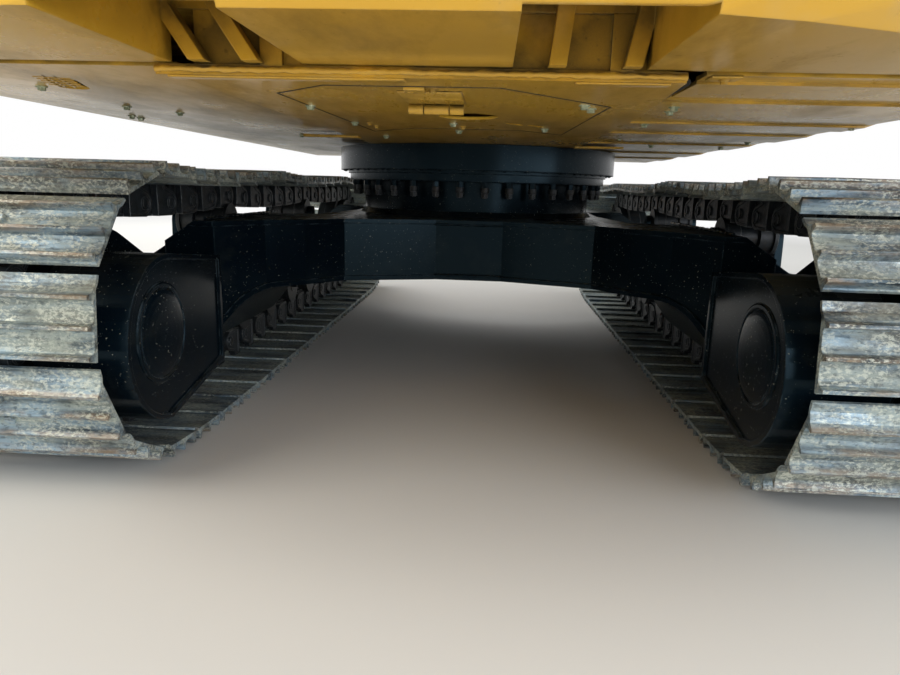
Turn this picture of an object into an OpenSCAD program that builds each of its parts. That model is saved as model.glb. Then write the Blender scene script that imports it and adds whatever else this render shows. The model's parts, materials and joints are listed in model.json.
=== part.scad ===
// Crawler excavator, about 22 t. Millimetres, +X to the front, +Y to the left, +Z up.
// The swing axis stands at axis_x on the X axis, the tracks stand on Z = 0.

/* [Tracks] */
// Distance between the track centre lines
gauge = 2380; // [2200:10:2600]
// Width of a track shoe
shoe_w = 700; // [500:50:800]
// Number of links in a track
links = 49; // [45:1:55]
// Distance from pin to pin in the track chain
link_pitch = 190; // [180:1:205]
// Teeth on a sprocket, of which every second one meets a bush
teeth = 21; // [21:2:25]
// Distance of the sprocket's centre behind the swing axis
sprocket_back = 1826; // [1700:1:1950]
// How far the bottom run hangs below the sprocket's lowest point
run_drop = 18; // [0:1:40]
// Height from the chain's pins to the shoe seat
link_out = 79; // [70:1:90]
// Height from the chain's pins to the rail that the rollers meet
link_in = 46; // [35:1:52]
// Thickness of a shoe's plate
shoe_t = 12; // [8:1:16]
// Height of a grouser over its plate
grouser_h = 28; // [15:1:40]
// Bottom rollers on each side
bottom_rollers_n = 8; // [6:1:9]
// Tread radius of a bottom roller
roller_r = 80; // [65:1:90]
// Tread radius of a carrier roller
carrier_r = 66; // [50:1:75]

/* [Car body] */
// Height of the car body's underside over the ground
clearance_z = 460; // [400:5:520]
// Height of the car body's top plate
car_top_z = 710; // [660:5:780]
// Radius of the round base under the slewing ring
base_r = 593; // [500:1:650]
// Radius of the slewing ring's lower flange
ring_r = 670; // [620:1:720]
// Height of the slewing ring's flange
ring_z = 904; // [860:1:950]
// Radius of the band over the slewing ring
band_r = 718; // [700:1:760]
// Bolts around the slewing ring
ring_bolts = 36; // [24:4:44]

/* [Upper structure] */
// Height of the upper frame's underside
frame_z = 1030; // [980:5:1100]
// Distance of the tail behind the swing axis
tail_r = 2940; // [2750:10:3000]
// Half the width of the upper structure
upper_half = 1345; // [1250:5:1380]
// Height of the side housings' roof
house_z = 2060; // [1900:10:2200]
// Height of the cab's roof
cab_z = 2960; // [2850:10:3050]
// Width of the cab
cab_w = 915; // [880:5:930]
// Length of the cab
cab_l = 1840; // [1700:10:1900]
// Distance of the cab's front ahead of the swing axis
cab_front = 1430; // [1350:5:1500]
// Thickness of sheet metal walls
sheet = 20; // [12:1:30]

/* [Boom] */
// Distance of the boom foot ahead of the swing axis
foot_x = 120; // [60:5:180]
// Height of the boom foot
foot_z = 1790; // [1700:5:1850]
// Distance from the boom foot to the stick pin
boom_len = 5680; // [5400:10:5900]
// Width of the boom's box
boom_w = 440; // [400:5:460]
// Bore pin radius at the boom foot
foot_pin_r = 50; // [40:1:60]

/* [Stick and bucket] */
// Distance from the stick pin to the bucket pin
stick_len = 2920; // [2800:10:3000]
// Width of the stick's box
stick_w = 300; // [260:5:320]
// Angle of the stick below the horizontal as parked
stick_down = 72; // [66:1:78]
// Height of the bucket pin over the bucket's flat bottom
bucket_pin_h = 1188; // [1150:1:1230]
// Width of the bucket
bucket_w = 1200; // [900:10:1400]
// Teeth on the bucket
bucket_teeth = 5; // [3:1:7]
// Distance from the bucket pin to the link pin
bucket_link = 455; // [440:1:470]
// Length of the guide links
guide_len = 640; // [620:1:660]
// Length of the power link
power_len = 600; // [580:1:620]
// Free play between neighbours that slide or turn
play = 0.3; // [0.2:0.05:0.5]
// Gap that moving pieces keep from their neighbours
gap = 6; // [5:0.5:8]

/* [Hidden] */
$fn = 48;

yellow = [0.84, 0.60, 0.18];
black = [0.07, 0.08, 0.09];
steel = [0.42, 0.42, 0.42];
chrome = [0.80, 0.80, 0.82];
glass = [0.45, 0.55, 0.55, 0.4];

// Chain geometry, about the sprocket's centre
pitch_r = link_pitch / (2 * sin(360 / teeth));
track_span = (links * link_pitch - 2 * PI * pitch_r) / 2;
shoe_r = pitch_r + link_out + shoe_t + grouser_h;
axle_z = shoe_r + run_drop;
sprocket_x = -sprocket_back;
idler_x = sprocket_x + track_span;
track_y = gauge / 2;
rim_r = sqrt(pitch_r * pitch_r - link_pitch * link_pitch / 4) - link_in - play;
rail_in = 46;
rail_out = 94;
bush_r = 30;
frame_half = 125;
roller_z = shoe_r - pitch_r + link_in + roller_r + play;
carrier_z = axle_z + pitch_r - link_in - carrier_r - play;

// Arm geometry as parked, in the vertical plane of the boom
boom_a = asin((bucket_pin_h + stick_len * sin(stick_down) - foot_z) / boom_len);
stick_a = -stick_down;
tip = [foot_x + boom_len * cos(boom_a), foot_z + boom_len * sin(boom_a)];
bucket_pin = [tip[0] + stick_len * cos(stick_a), tip[1] + stick_len * sin(stick_a)];
cyl_y = 318;
cyl_eye_w = 90;
boom_cyl_base = [760, 1330];
boom_cyl_pin = [2330, 640];
stick_cyl_base = [2480, 1530];
stick_cyl_pin = [-800, 330];
bucket_cyl_base = [330, 640];
guide_pin = [2490, 60];
link_a = -20;
link_pin = bucket_pin + bucket_link * [cos(link_a), sin(link_a)];
link_eye_r = 75;
guide_at = turned(guide_pin, stick_a) + tip;
link_at = meet(guide_at, guide_len, link_pin, power_len);

// Vehicle origin at the middle of its length
front_x = link_at[0] + link_eye_r;
axis_x = (tail_r - front_x) / 2;

function turned(p, a) = [p[0] * cos(a) - p[1] * sin(a), p[0] * sin(a) + p[1] * cos(a)];
function dir_of(a, b) = atan2(b[1] - a[1], b[0] - a[0]);
function meet(a, ra, b, rb) =
    let (d = norm(b - a), s = (ra * ra - rb * rb + d * d) / (2 * d), h = sqrt(ra * ra - s * s),
        u = (b - a) / d)
    a + s * u + h * [-u[1], u[0]];
function boom_point(p) = turned(p, boom_a) + [foot_x, foot_z];
function stick_point(p) = turned(p, stick_a) + tip;
function arc(c, r, a0, a1, n = 8) =
    [for (i = [0 : n]) c + r * [cos(a0 + (a1 - a0) * i / n), sin(a0 + (a1 - a0) * i / n)]];
// Point at share u between rows i and i + 1 of a table, on a curve through every row
function curve_at(t, i, u) =
    let (p = t[max(i - 1, 0)], a = t[i], b = t[i + 1], q = t[min(i + 2, len(t) - 1)])
    a + u / 2 * ((b - p) + u * ((2 * p - 5 * a + 4 * b - q) + u * (3 * a - p - 3 * b + q)));
function smooth(t, n = 4) =
    concat([for (i = [0 : len(t) - 2], k = [0 : n - 1]) curve_at(t, i, k / n)], [t[len(t) - 1]]);

// Outline in X and Z, drawn out from y0 to y1
module slab(y0, y1) {
    translate([0, y1, 0]) rotate([90, 0, 0]) linear_extrude(y1 - y0) children();
}

// Plan in X and Y, drawn out from z0 to z1
module level(z0, z1) {
    translate([0, 0, z0]) linear_extrude(z1 - z0) children();
}

// Round bar along Y at a point in X and Z
module bar_y(p, r, y0, y1) {
    translate([p[0], y0, p[1]]) rotate([-90, 0, 0]) cylinder(r = r, h = y1 - y0);
}

module box(x0, x1, y0, y1, z0, z1) {
    translate([x0, y0, z0]) cube([x1 - x0, y1 - y0, z1 - z0]);
}

// Section in Y and Z, drawn out from x0 to x1
module across(x0, x1) {
    translate([x0, 0, 0]) rotate([90, 0, 90]) linear_extrude(x1 - x0) children();
}

// Round bar between two points
module bar_between(a, b, r) {
    d = b - a;
    translate(a) rotate([0, acos(d[2] / norm(d)), atan2(d[1], d[0])]) cylinder(r = r, h = norm(d));
}

// Rectangle with round corners
module soft_square(x0, x1, y0, y1, r) {
    polygon(concat(arc([x1 - r, y1 - r], r, 0, 90, 4), arc([x0 + r, y1 - r], r, 90, 180, 4),
        arc([x0 + r, y0 + r], r, 180, 270, 4), arc([x1 - r, y0 + r], r, 270, 360, 4)));
}

module both() {
    children();
    mirror([0, 1, 0]) children();
}

// Everything is drawn about the swing axis and moved so that the length is centred
module placed() {
    translate([axis_x, 0, 0]) children();
}

module on_boom() {
    translate([foot_x, 0, foot_z]) rotate([0, -boom_a, 0]) children();
}

module on_stick() {
    translate([tip[0], 0, tip[1]]) rotate([0, -stick_a, 0]) children();
}

module on_bucket() {
    translate([bucket_pin[0], 0, bucket_pin[1]]) children();
}

// Loop of a track: place and heading of a point at distance s along the pin line
function loop_at(s) =
    let (top = track_span, bend = PI * pitch_r, z = pitch_r)
    s < top ? [sprocket_x + s, axle_z + z, 0]
    : s < top + bend ?
        let (a = (s - top) / pitch_r * 180 / PI)
        [idler_x + z * sin(a), axle_z + z * cos(a), -a]
    : s < 2 * top + bend ?
        let (t = s - top - bend, d = low(t))
        [idler_x - t, axle_z - z - d, 180]
    : let (a = (s - 2 * top - bend) / pitch_r * 180 / PI)
        [sprocket_x - z * sin(a), axle_z - z * cos(a), 180 - a];
// Drop of the bottom run: it slopes to a link before the first roller and is flat under the rollers
first_roller = 430;
function low(t) = run_drop * min(1, min(t, track_span - t) / (first_roller - link_pitch));
function pin_of(k) = let (p = loop_at((k % links) * link_pitch)) [p[0], p[1]];
function on_link(k, p) =
    let (a = pin_of(k), b = pin_of(k + 1), u = (b - a) / norm(b - a))
    a + u * p[0] + [-u[1], u[0]] * p[1];

// Shoe section over one link: distance along the link, height over the pins
shoe_top = link_out + shoe_t;
shoe_tip = shoe_top + grouser_h;
grousers = [22, 95, 168];
grouser_half = 15;
shoe_line = concat([[0, link_out + 2]], [for (g = grousers, p = [[-grouser_half, shoe_top],
    [0, shoe_tip], [grouser_half, shoe_top]]) [g + p[0], p[1]]]);

module track(side) {
    color(steel) placed() translate([0, side * track_y, 0]) {
        slab(-shoe_w / 2, shoe_w / 2) difference() {
            polygon([for (k = [0 : links - 1], p = shoe_line) on_link(k, p)]);
            polygon([for (k = [0 : links - 1]) on_link(k, [0, link_out])]);
        }
        for (y = [rail_in, -rail_out])
            slab(y, y + rail_out - rail_in) difference() {
                polygon([for (k = [0 : links - 1]) on_link(k, [0, link_out + 1])]);
                polygon([for (k = [0 : links - 1]) on_link(k, [0, -link_in])]);
            }
    }
}

module sprockets() {
    hub_r = 205;
    color(black) placed() both() translate([sprocket_x, track_y, axle_z]) rotate([-90, 0, 0]) {
        difference() {
            translate([0, 0, -32]) cylinder(r = pitch_r + 14, h = 64);
            for (i = [0 : teeth - 1])
                rotate([0, 0, -90 + i * 360 / teeth]) translate([pitch_r, 0, -40])
                    cylinder(r = bush_r + 3, h = 80, $fn = 16);
        }
        translate([0, 0, -roller_half]) cylinder(r = hub_r + 15, h = roller_half - 30);
        translate([0, 0, 30]) cylinder(r1 = hub_r, r2 = hub_r - 18, h = 150);
        translate([0, 0, 175]) cylinder(r1 = hub_r - 60, r2 = hub_r - 75, h = 22);
    }
}

idler_shaft_r = 38;
fork_in = rail_out + gap;
module idler_wheels() {
    color(black) placed() both() translate([idler_x, track_y, axle_z]) rotate([-90, 0, 0]) {
        rotate_extrude($fn = 64)
            polygon([[0, -150], [idler_shaft_r, -150], [idler_shaft_r, -fork_in + play],
                [90, -fork_in + play], [90, -60], [rim_r - 45, -40],
                [rim_r - 45, -rail_out], [rim_r, -rail_out], [rim_r, -rail_in + 2],
                [rim_r + 18, -rail_in + 8], [rim_r + 18, rail_in - 8], [rim_r, rail_in - 2],
                [rim_r, rail_out], [rim_r - 45, rail_out], [rim_r - 45, 40],
                [90, 60], [90, fork_in - play], [idler_shaft_r, fork_in - play],
                [idler_shaft_r, 150], [0, 150]]);
    }
}

// Roller with two treads, outer flanges and its shaft, along Y
roller_flange = 16;
roller_half = 116;
module roller(r, flange) {
    rotate([-90, 0, 0]) rotate_extrude($fn = 32)
        polygon([[0, -roller_half], [34, -roller_half], [34, -112], [r + flange, -112],
            [r + flange, -97], [r, -95], [r, -42], [r - 16, -34], [r - 16, 34], [r, 42], [r, 95],
            [r + flange, 97], [r + flange, 112], [34, 112], [34, roller_half], [0, roller_half]]);
}

roller_first = sprocket_x + first_roller;
roller_step = (track_span - 2 * first_roller) / (bottom_rollers_n - 1);
carrier_x = [-720, 560];

module bottom_rollers() {
    color(black) placed() both()
        for (i = [0 : bottom_rollers_n - 1])
            translate([roller_first + i * roller_step, track_y, roller_z]) roller(roller_r, roller_flange);
}

module carrier_rollers() {
    color(black) placed() both() for (x = carrier_x)
        translate([x, track_y, carrier_z]) {
            roller(carrier_r, 12);
        }
}

// Track frame: sloped box, motor plate behind, idler fork ahead, roller collars below
frame_low = roller_z + roller_r + roller_flange + gap;
frame_high = 560;
frame_rear = sprocket_x + pitch_r + 60;
frame_front = idler_x - pitch_r - 20;
fork_h = 72;
collar_y = roller_half + play;
collar_w = 32;
motor_y = 145;
frame_rear_x = -frame_rear - 66;
module track_frame(side) {
    color(black) placed() translate([0, side * track_y, 0]) mirror([0, side < 0 ? 1 : 0, 0]) {
        translate([frame_rear, 0, 0]) rotate([90, 0, 90]) linear_extrude(frame_front - frame_rear)
            polygon([[-frame_half, frame_low], [frame_half, frame_low],
                [frame_half, frame_high - 130], [40, frame_high], [-60, frame_high],
                [-frame_half, frame_high - 60]]);
        slab(-motor_y, -roller_half - play) hull() {
            translate([sprocket_x, axle_z]) circle(r = 245);
            translate([frame_rear + 60, frame_low]) square([10, frame_high - 60 - frame_low]);
        }
        for (y = [-frame_half, fork_in])
            slab(y, y + frame_half - fork_in) translate([frame_front - 60, axle_z]) difference() {
                translate([0, -fork_h]) square([idler_x + 70 - frame_front + 60, 2 * fork_h]);
                translate([70, -idler_shaft_r - play])
                    square([track_span, 2 * (idler_shaft_r + play)]);
            }
        for (i = [0 : bottom_rollers_n - 1], y = [-collar_y - collar_w, collar_y])
            slab(y, y + collar_w)
                roller_bracket(roller_first + i * roller_step, roller_z, frame_low + 40, 42);
        for (x = carrier_x, y = [-collar_y - collar_w, collar_y])
            slab(y, y + collar_w) roller_bracket(x, carrier_z, frame_high - 180, 36);
        for (sx = [-1, 1])
            mirror([sx < 0 ? 1 : 0, 0, 0]) across(leg_front, frame_rear_x - gap)
                polygon([[-frame_half, frame_high - 62], [-frame_half, leg_top], [-30, frame_high - 2],
                    [-30, frame_high - 62]]);
    }
}

// Plate with a round end about a roller's shaft and a wide foot on the frame
module roller_bracket(x, z, foot, r) {
    up = z > foot ? 1 : -1;
    polygon(concat([[x + up * (r + 16), foot]], arc([x, z], r, 90 - up * 90, 90 + up * 90, 8),
        [[x - up * (r + 16), foot]]));
}

// Guard over a travel motor, on the inner side of a sprocket: a drum with a D-shaped outline,
// a raised rim round its face and a domed cap
guard_in = 395;
guard_c = [sprocket_x - 109, axle_z - 46];
guard_r = 233;
guard_front = sprocket_x + 261;
rim_w = 15;
rim_h = 9;
cap_at = guard_c + [-32, 17];
cap_r = 125;
cap_dome = 8;
module motor_guard(side) {
    color(black) placed() translate([0, side * track_y, 0]) mirror([0, side < 0 ? 1 : 0, 0]) {
        slab(-guard_in + rim_h, -motor_y) guard_outline();
        slab(-guard_in, -guard_in + rim_h + 1) difference() {
            guard_outline();
            offset(delta = -rim_w) guard_outline();
        }
        translate([cap_at[0], -guard_in + rim_h + 1, cap_at[1]]) rotate([90, 0, 0]) rotate_extrude($fn = 64)
            polygon(concat([[0, 0], [cap_r + 15, 0], [cap_r + 15, 4], [cap_r + 11, 6], [cap_r + 3, 6],
                [cap_r, 2]], [for (a = [15 : 15 : 90]) [cap_r * cos(a), 3 + cap_dome * sin(a)]]));
    }
}

module guard_outline() {
    polygon(concat(arc(guard_c, guard_r, 88, 266, 20),
        [[guard_front, axle_z - 202], [guard_front, axle_z + 147]]));
}

// Car body: a box in the plan of an X, whose legs arch down to the track frames
leg_front = 880;
leg_rear = 1450;
leg_out = track_y - frame_half;
collar_clear = track_y - collar_y - collar_w - gap;
leg_top = frame_high + 60;
leg_low = 296;
arch_y = 700;
arch_r = 130;
side_x = 880;
flange_t = 18;
flange_lip = 12;
module quarter_plan(lip) {
    polygon([[0, 0], [side_x + lip, 0], [side_x + lip, 140], [960 + lip, 360], [1010 + lip, 500],
        [1160 + lip, 620], [1270 + lip, 740], [leg_rear + lip, 860], [leg_rear + lip, collar_clear],
        [frame_rear_x - gap, collar_clear], [frame_rear_x - gap, leg_out], [leg_front, leg_out],
        [640, 680 + lip], [0, 640 + lip]]);
}

// Section of a leg across the machine, its underside raised by rise
module leg_section(rise) {
    polygon(concat([[0, car_top_z], [0, clearance_z + rise]],
        arc([arch_y, clearance_z - arch_r], arch_r + rise, 90, 35, 6),
        [[track_y - frame_half - 183, leg_low + rise], [collar_clear, leg_low + rise],
        [collar_clear, frame_low + 46], [leg_out, frame_low + 46], [leg_out, leg_top],
        [leg_out - 140, car_top_z]]));
}

module car_quarter() {
    intersection() {
        level(leg_low, car_top_z) quarter_plan(0);
        across(0, leg_rear) leg_section(0);
    }
    intersection() {
        level(leg_low, car_top_z) quarter_plan(flange_lip);
        across(0, leg_rear + flange_lip) difference() {
            leg_section(0);
            leg_section(flange_t);
        }
    }
    intersection() {
        level(car_top_z - flange_t, car_top_z) quarter_plan(flange_lip);
        across(0, leg_rear + flange_lip) leg_section(0);
    }
}

module car_body() {
    color(black) placed() difference() {
        union() {
            both() {
                car_quarter();
                mirror([1, 0, 0]) car_quarter();
            }
            level(car_top_z - 5, ring_z - 34) circle(r = base_r);
            translate([0, 0, car_top_z - 1]) cylinder(r1 = base_r + 24, r2 = base_r, h = 26);
        }
        level(clearance_z - 5, ring_z) circle(r = 150);
    }
}

module slewing_ring() {
    color(black) placed() {
        level(ring_z - 34, ring_z) difference() {
            circle(r = ring_r, $fn = 96);
            circle(r = 500, $fn = 96);
        }
        for (i = [0 : ring_bolts - 1])
            rotate([0, 0, (i + 0.5) * 360 / ring_bolts]) translate([ring_r - 30, 0, ring_z - 60])
                cylinder(r = 17, h = 28, $fn = 6);
    }
}

module ring_band() {
    color(black) placed() difference() {
        union() {
            level(ring_z + play, ring_z + 16) circle(r = band_r - 38, $fn = 96);
            level(ring_z + 15, frame_z) circle(r = band_r, $fn = 96);
        }
        level(ring_z, frame_z + 1) circle(r = 520, $fn = 96);
    }
}

// Upper frame: floor, two beams that carry the boom, and the plates across them
plate_rear = 450 - tail_r;
plate_front = 900;
weight_x = plate_rear + 330;
house_x = weight_x + 10;
ledge = 8;
beam_in = 288;
beam_t = 40;
floor_t = 18;
floor_z = frame_z + floor_t;
deck_z = 1180;
centre_half = 460;
beam_top = 1400;
tail_top = 1140;
lug_x = [620, 830];
lug_out = 400;
module bottom_plan() {
    polygon([[plate_rear, -420], [plate_rear + 590, -centre_half], [plate_front, -centre_half],
        [plate_front, centre_half], [plate_rear + 390, centre_half + 32], [plate_rear + 18, centre_half + 28],
        [plate_rear + 18, 520], [plate_rear, 520]]);
}

module main_frame() {
    color(yellow) placed() difference() {
        frame_plates();
        level(frame_z - 1, frame_z + ledge + play) offset(delta = 2) hatch_plan();
    }
}

module frame_plates() {
    union() {
        level(frame_z, floor_z) difference() {
            bottom_plan();
            offset(delta = -40) hatch_plan();
        }
        both() slab(beam_in, beam_in + beam_t)
            polygon(concat(arc([foot_x, foot_z], 150, 20, 160, 12),
                [[-420, 1470], [-800, beam_top], [weight_x + 10, beam_top], [weight_x + 10, tail_top],
                [plate_rear, tail_top], [plate_rear, floor_z - 2],
                [plate_front, floor_z - 2], [plate_front, 1200], [620, 1260], [400, 1480]]));
        bar_y([foot_x, foot_z], foot_pin_r, -beam_in - beam_t - 20, beam_in + beam_t + 20);
        both() bar_y(boom_cyl_base, 38, 240, lug_out);
        both() {
            slab(cyl_y + cyl_eye_w / 2 + gap / 2, cyl_y + cyl_eye_w / 2 + gap / 2 + 30)
                cylinder_lug();
            slab(cyl_y - cyl_eye_w / 2 - gap / 2 - 30, cyl_y - cyl_eye_w / 2 - gap / 2)
                cylinder_lug();
            box(lug_x[0], lug_x[1], 240, lug_out, floor_z - 2, 1155);
        }
        box(plate_rear + 10, plate_rear + 50, -centre_half + 60, centre_half - 10, floor_z - 2, tail_top);
        box(plate_front - 60, plate_front - 20, -beam_in - 2, beam_in + 2, floor_z - 2, 1150);
        for (x = [-1500, -800, 420])
            box(x, x + 20, -beam_in - 2, beam_in + 2, floor_z - 2, beam_top - 120);
    }
}

module cylinder_lug() {
    polygon(concat([[640, 1150], [800, 1150]], arc(boom_cyl_base, 90, -60, 200, 10)));
}

// Side decks: they meet the beams, and stand back from the boom's cylinders in front
module side_deck(out, x1) {
    polygon([[house_x, beam_in + beam_t + play], [lug_x[0] - 10, beam_in + beam_t + play],
        [lug_x[0] - 10, lug_out + 10], [x1, lug_out + 10], [x1, out - 80], [x1 - 80, out],
        [house_x, out]]);
}

// Folded pans below the side decks, with a sloping outer edge
deck_t = 60;
side_left = upper_half - 5;
side_right = upper_half - 60;
pan_t = 8;
pan_slope = [130, 50];
pan_rear = plate_rear + 30;
module belly_pan(inner, outer, x0, x1, drop) {
    z = floor_z - drop;
    across(x0, x1) polygon([[inner, z], [outer - pan_slope[0], z], [outer, z + pan_slope[1]],
        [outer, deck_z - deck_t + 1], [outer - pan_t, deck_z - deck_t + 1],
        [outer - pan_t, z + pan_slope[1] + 4],
        [outer - pan_slope[0] - 4, z + pan_t], [inner, z + pan_t]]);
}

// The right pan is pressed across into bands: where a band starts from its rear, and if it hangs lower
pan_drop = 6;
pan_bands = [[0, 0], [60, 1], [230, 0], [330, 1], [570, 0], [820, 1], [950, 0], [1190, 1],
    [1450, 0], [1720, 1], [1980, 0], [2400, 1], [2700, 0], [2980, 1], [3220, 0]];
slot_at = [pan_rear + 260, 866];
module belly_pans() {
    color(yellow) placed() {
        level(deck_z - deck_t, deck_z) {
            side_deck(side_left, cab_front - 60);
            mirror([0, 1]) side_deck(side_right, 1330);
        }
        difference() {
            belly_pan(centre_half + 34, side_left, pan_rear, cab_front - 80, 0);
            level(floor_z - 1, floor_z + pan_t + 1) translate(slot_at) rotate([0, 0, 20])
                soft_square(-95, 95, -32, 32, 31);
        }
        mirror([0, 1, 0]) for (i = [0 : len(pan_bands) - 1])
            belly_pan(centre_half + 1, side_right, pan_rear + pan_bands[i][0],
                i < len(pan_bands) - 1 ? pan_rear + pan_bands[i + 1][0] + 6 : 1240,
                pan_bands[i][1] * pan_drop);
    }
}

// Hatch under the swing motor: the corners of its outline, from the left rear round to the right rear
hatch_hole = [plate_rear + 640, -20];
module hatch_plan() {
    polygon([[plate_rear + 230, 370], [plate_rear + 100, 240], [plate_rear + 95, -100],
        [plate_rear + 360, -350], [-1300, -320], [-1455, -170],
        [-1455, 170], [-1290, 330]]);
}

module belly_hatch() {
    color(yellow) placed() level(frame_z, frame_z + ledge) difference() {
        hatch_plan();
        translate(hatch_hole) circle(r = 80);
        for (p = [[-1660, -150], [-1610, -215]])
            translate(p) rotate([0, 0, -35]) soft_square(-38, 38, -11, 11, 10);
    }
}

// Counterweight: a tail drawn about the swing axis, with a narrower floor and two pockets below
weight_z = 1050;
weight_h = 1010;
weight_top = weight_z + weight_h;
tail_round = 150;
top_round = 90;
floor_rear = tail_r - 63;
floor_bend = 1280;
floor_turn = 12;
pocket_z = 1200;
pockets = [[250, 488], [-350, -120]];
pocket_ribs = [[430, 490], [335, 395], [-195, -205], [-322, -340]];
module tail_plan(r, half, x0) {
    cx = -sqrt(pow(r - tail_round, 2) - pow(half - tail_round, 2));
    cy = half - tail_round;
    turn = atan2(cy, cx);
    polygon(concat([[x0, half]], arc([cx, cy], tail_round, 90, turn, 5), arc([0, 0], r, turn, 360 - turn, 28),
        arc([cx, -cy], tail_round, 360 - turn, 270, 5), [[x0, -half]]));
}

// Flat underside of the tail: straight across the middle, bent forward at both ends
module weight_floor() {
    cx = floor_bend * cos(floor_turn) - floor_rear;
    polygon(concat([[plate_rear, 1180]], arc([cx, 250], floor_bend, 134, 180 - floor_turn, 6),
        arc([cx, -80], floor_bend, 180 + floor_turn, 226, 6), [[plate_rear, -1180]]));
}

module counterweight() {
    color(yellow) placed() difference() {
        union() {
            hull() {
                level(weight_z, weight_z + 1) weight_floor();
                level(tail_top + 20, tail_top + 21) tail_plan(tail_r, upper_half - 20, plate_rear);
            }
            intersection() {
                rotate_extrude($fn = 96) polygon(concat([[0, tail_top], [tail_r, tail_top], [tail_r, 1560],
                    [tail_r - 40, weight_top - top_round]],
                    arc([tail_r - 40 - top_round, weight_top - top_round], top_round, 0, 90, 6),
                    [[0, weight_top]]));
                level(tail_top, weight_top) tail_plan(tail_r + 5, upper_half - 20, weight_x);
            }
            for (y = [-600, 600])
                translate([plate_rear + 10, y - 25, weight_top - 2]) lifting_lug();
        }
        for (y = [-600, 600])
            translate([plate_rear + 10, y - 30, weight_top + 60]) rotate([-90, 0, 0])
                cylinder(r = 32, h = 60);
        difference() {
            for (p = pockets)
                box(-floor_rear - 4, plate_rear + 1, p[0], p[1], weight_z - 1, pocket_z);
            for (r = pocket_ribs)
                across(plate_rear - 34, plate_rear + 2) polygon([[r[0] - 15, weight_z], [r[0] + 15, weight_z],
                    [r[1] + 15, tail_top], [r[1] + 15, pocket_z + 1], [r[1] - 15, pocket_z + 1],
                    [r[1] - 15, tail_top]]);
        }
    }
}

module lifting_lug() {
    rotate([90, 0, 0]) mirror([0, 0, 1]) linear_extrude(50) hull() {
        translate([0, 62]) circle(r = 62);
        translate([-80, 0]) square([160, 10]);
    }
}

right_x1 = -770;
tank_in = 450;
bay_half = 640;
engine_x = [house_x + 100, -1250];
module engine() {
    color(black) placed()
        box(engine_x[0], engine_x[1], -bay_half + 30, bay_half - 30, beam_top, house_z - 60);
}

// Tanks and tool box stand side by side on the right deck, with a round upper outer edge
tank_x = [right_x1 + play, -50, -40, 560, 570, 1240];
tank_out = upper_half - 20;
tank_round = 60;
step_z = [1400, 1620, 1840];
step_x = [960, 780];
module tank_section(out, top) {
    polygon(concat([[tank_in, deck_z], [out, deck_z]],
        arc([out - tank_round, top - tank_round], tank_round, 0, 90, 6), [[tank_in, top]]));
}

module fuel_tank() {
    color(yellow) placed() mirror([0, 1, 0]) {
        across(tank_x[2], tank_x[3]) tank_section(tank_out, house_z);
        translate([tank_x[2] + 160, tank_in + 260, house_z - 1]) {
            cylinder(r = 62, h = 40);
            translate([0, 0, 39]) cylinder(r = 78, h = 28, $fn = 12);
        }
    }
}

module hydraulic_tank() {
    color(yellow) placed() mirror([0, 1, 0]) {
        across(tank_x[0], tank_x[1]) tank_section(tank_out, house_z);
        translate([(tank_x[0] + tank_x[1]) / 2, tank_in + 330, house_z - 1]) cylinder(r = 130, h = 22);
    }
}

// Tool box: a stair of three treads in front of the fuel tank, each with raised cleats
tread_rear = [step_x[0], step_x[1], tank_x[4]];
tread_front = [tank_x[5], step_x[0], step_x[1]];
cleats = 4;
cleat_w = 12;
cleat_h = 7;
cleat_pitch = 36;
cleat_edge = 90;
module tool_box() {
    color(yellow) placed() mirror([0, 1, 0]) for (i = [0 : 2]) {
        level(i == 0 ? deck_z : step_z[i - 1] - 1, step_z[i])
            soft_square(tank_x[4], tread_front[i], tank_in, side_right - 10, 25);
        for (k = [0 : cleats - 1])
            translate([tread_rear[i] + 30 + k * cleat_pitch, 0, step_z[i]])
                box(0, cleat_w, tank_in + cleat_edge, side_right - cleat_edge, -1, cleat_h);
    }
}

// Side housings: floor, end walls, roof and inner wall, open to the side for their door
module side_housing(x0, x1, y_in, y_out) {
    difference() {
        box(x0, x1, y_in, y_out, deck_z, house_z);
        box(x0 + sheet, x1 - sheet, y_in + sheet, y_out + 10, deck_z + sheet, house_z - sheet);
    }
}

module side_housing_left() {
    color(yellow) placed()
        side_housing(house_x, cab_rear - 30, bay_half, door_in);
}

module side_housing_right() {
    color(yellow) placed() mirror([0, 1, 0])
        side_housing(house_x, right_x1, bay_half, door_in);
}

// Doors of the side housings, hinged at their rear edges
door_t = 18;
slot_h = 22;
louvres = 12;
door_in = upper_half - door_t - play;
door_hinge = [house_x + 3, upper_half + 8];
module housing_door(x0, x1, rows) {
    step = (house_z - deck_z - 330) / rows;
    difference() {
        box(x0 + gap, x1 - gap, upper_half - door_t, upper_half, deck_z + gap, house_z - gap);
        for (i = [0 : rows - 1])
            box(x0 + 230, x1 - 190, upper_half - door_t - 1, upper_half + 1, deck_z + 170 + i * step,
                deck_z + 170 + i * step + slot_h);
    }
    translate([door_hinge[0], door_hinge[1], deck_z + 60]) cylinder(r = 12, h = 760, $fn = 16);
}

module door_left() {
    color(yellow) placed() housing_door(house_x, cab_rear - 30, louvres);
}

module door_right() {
    color(yellow) placed() mirror([0, 1, 0]) housing_door(house_x, right_x1, louvres / 2);
}

hood_half = bay_half + 30;
hood_z = 2240;
hood_x = -960;
hood_low = house_z + play;
hood_round = 90;
hood_slots = 9;
module hood_section(t) {
    half = hood_half - hood_round;
    polygon(concat([[hood_half - t, hood_low - t / 2]],
        arc([half, hood_z - hood_round], hood_round - t, 0, 90, 6),
        arc([-half, hood_z - hood_round], hood_round - t, 90, 180, 6),
        [[t - hood_half, hood_low - t / 2]]));
}

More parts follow.
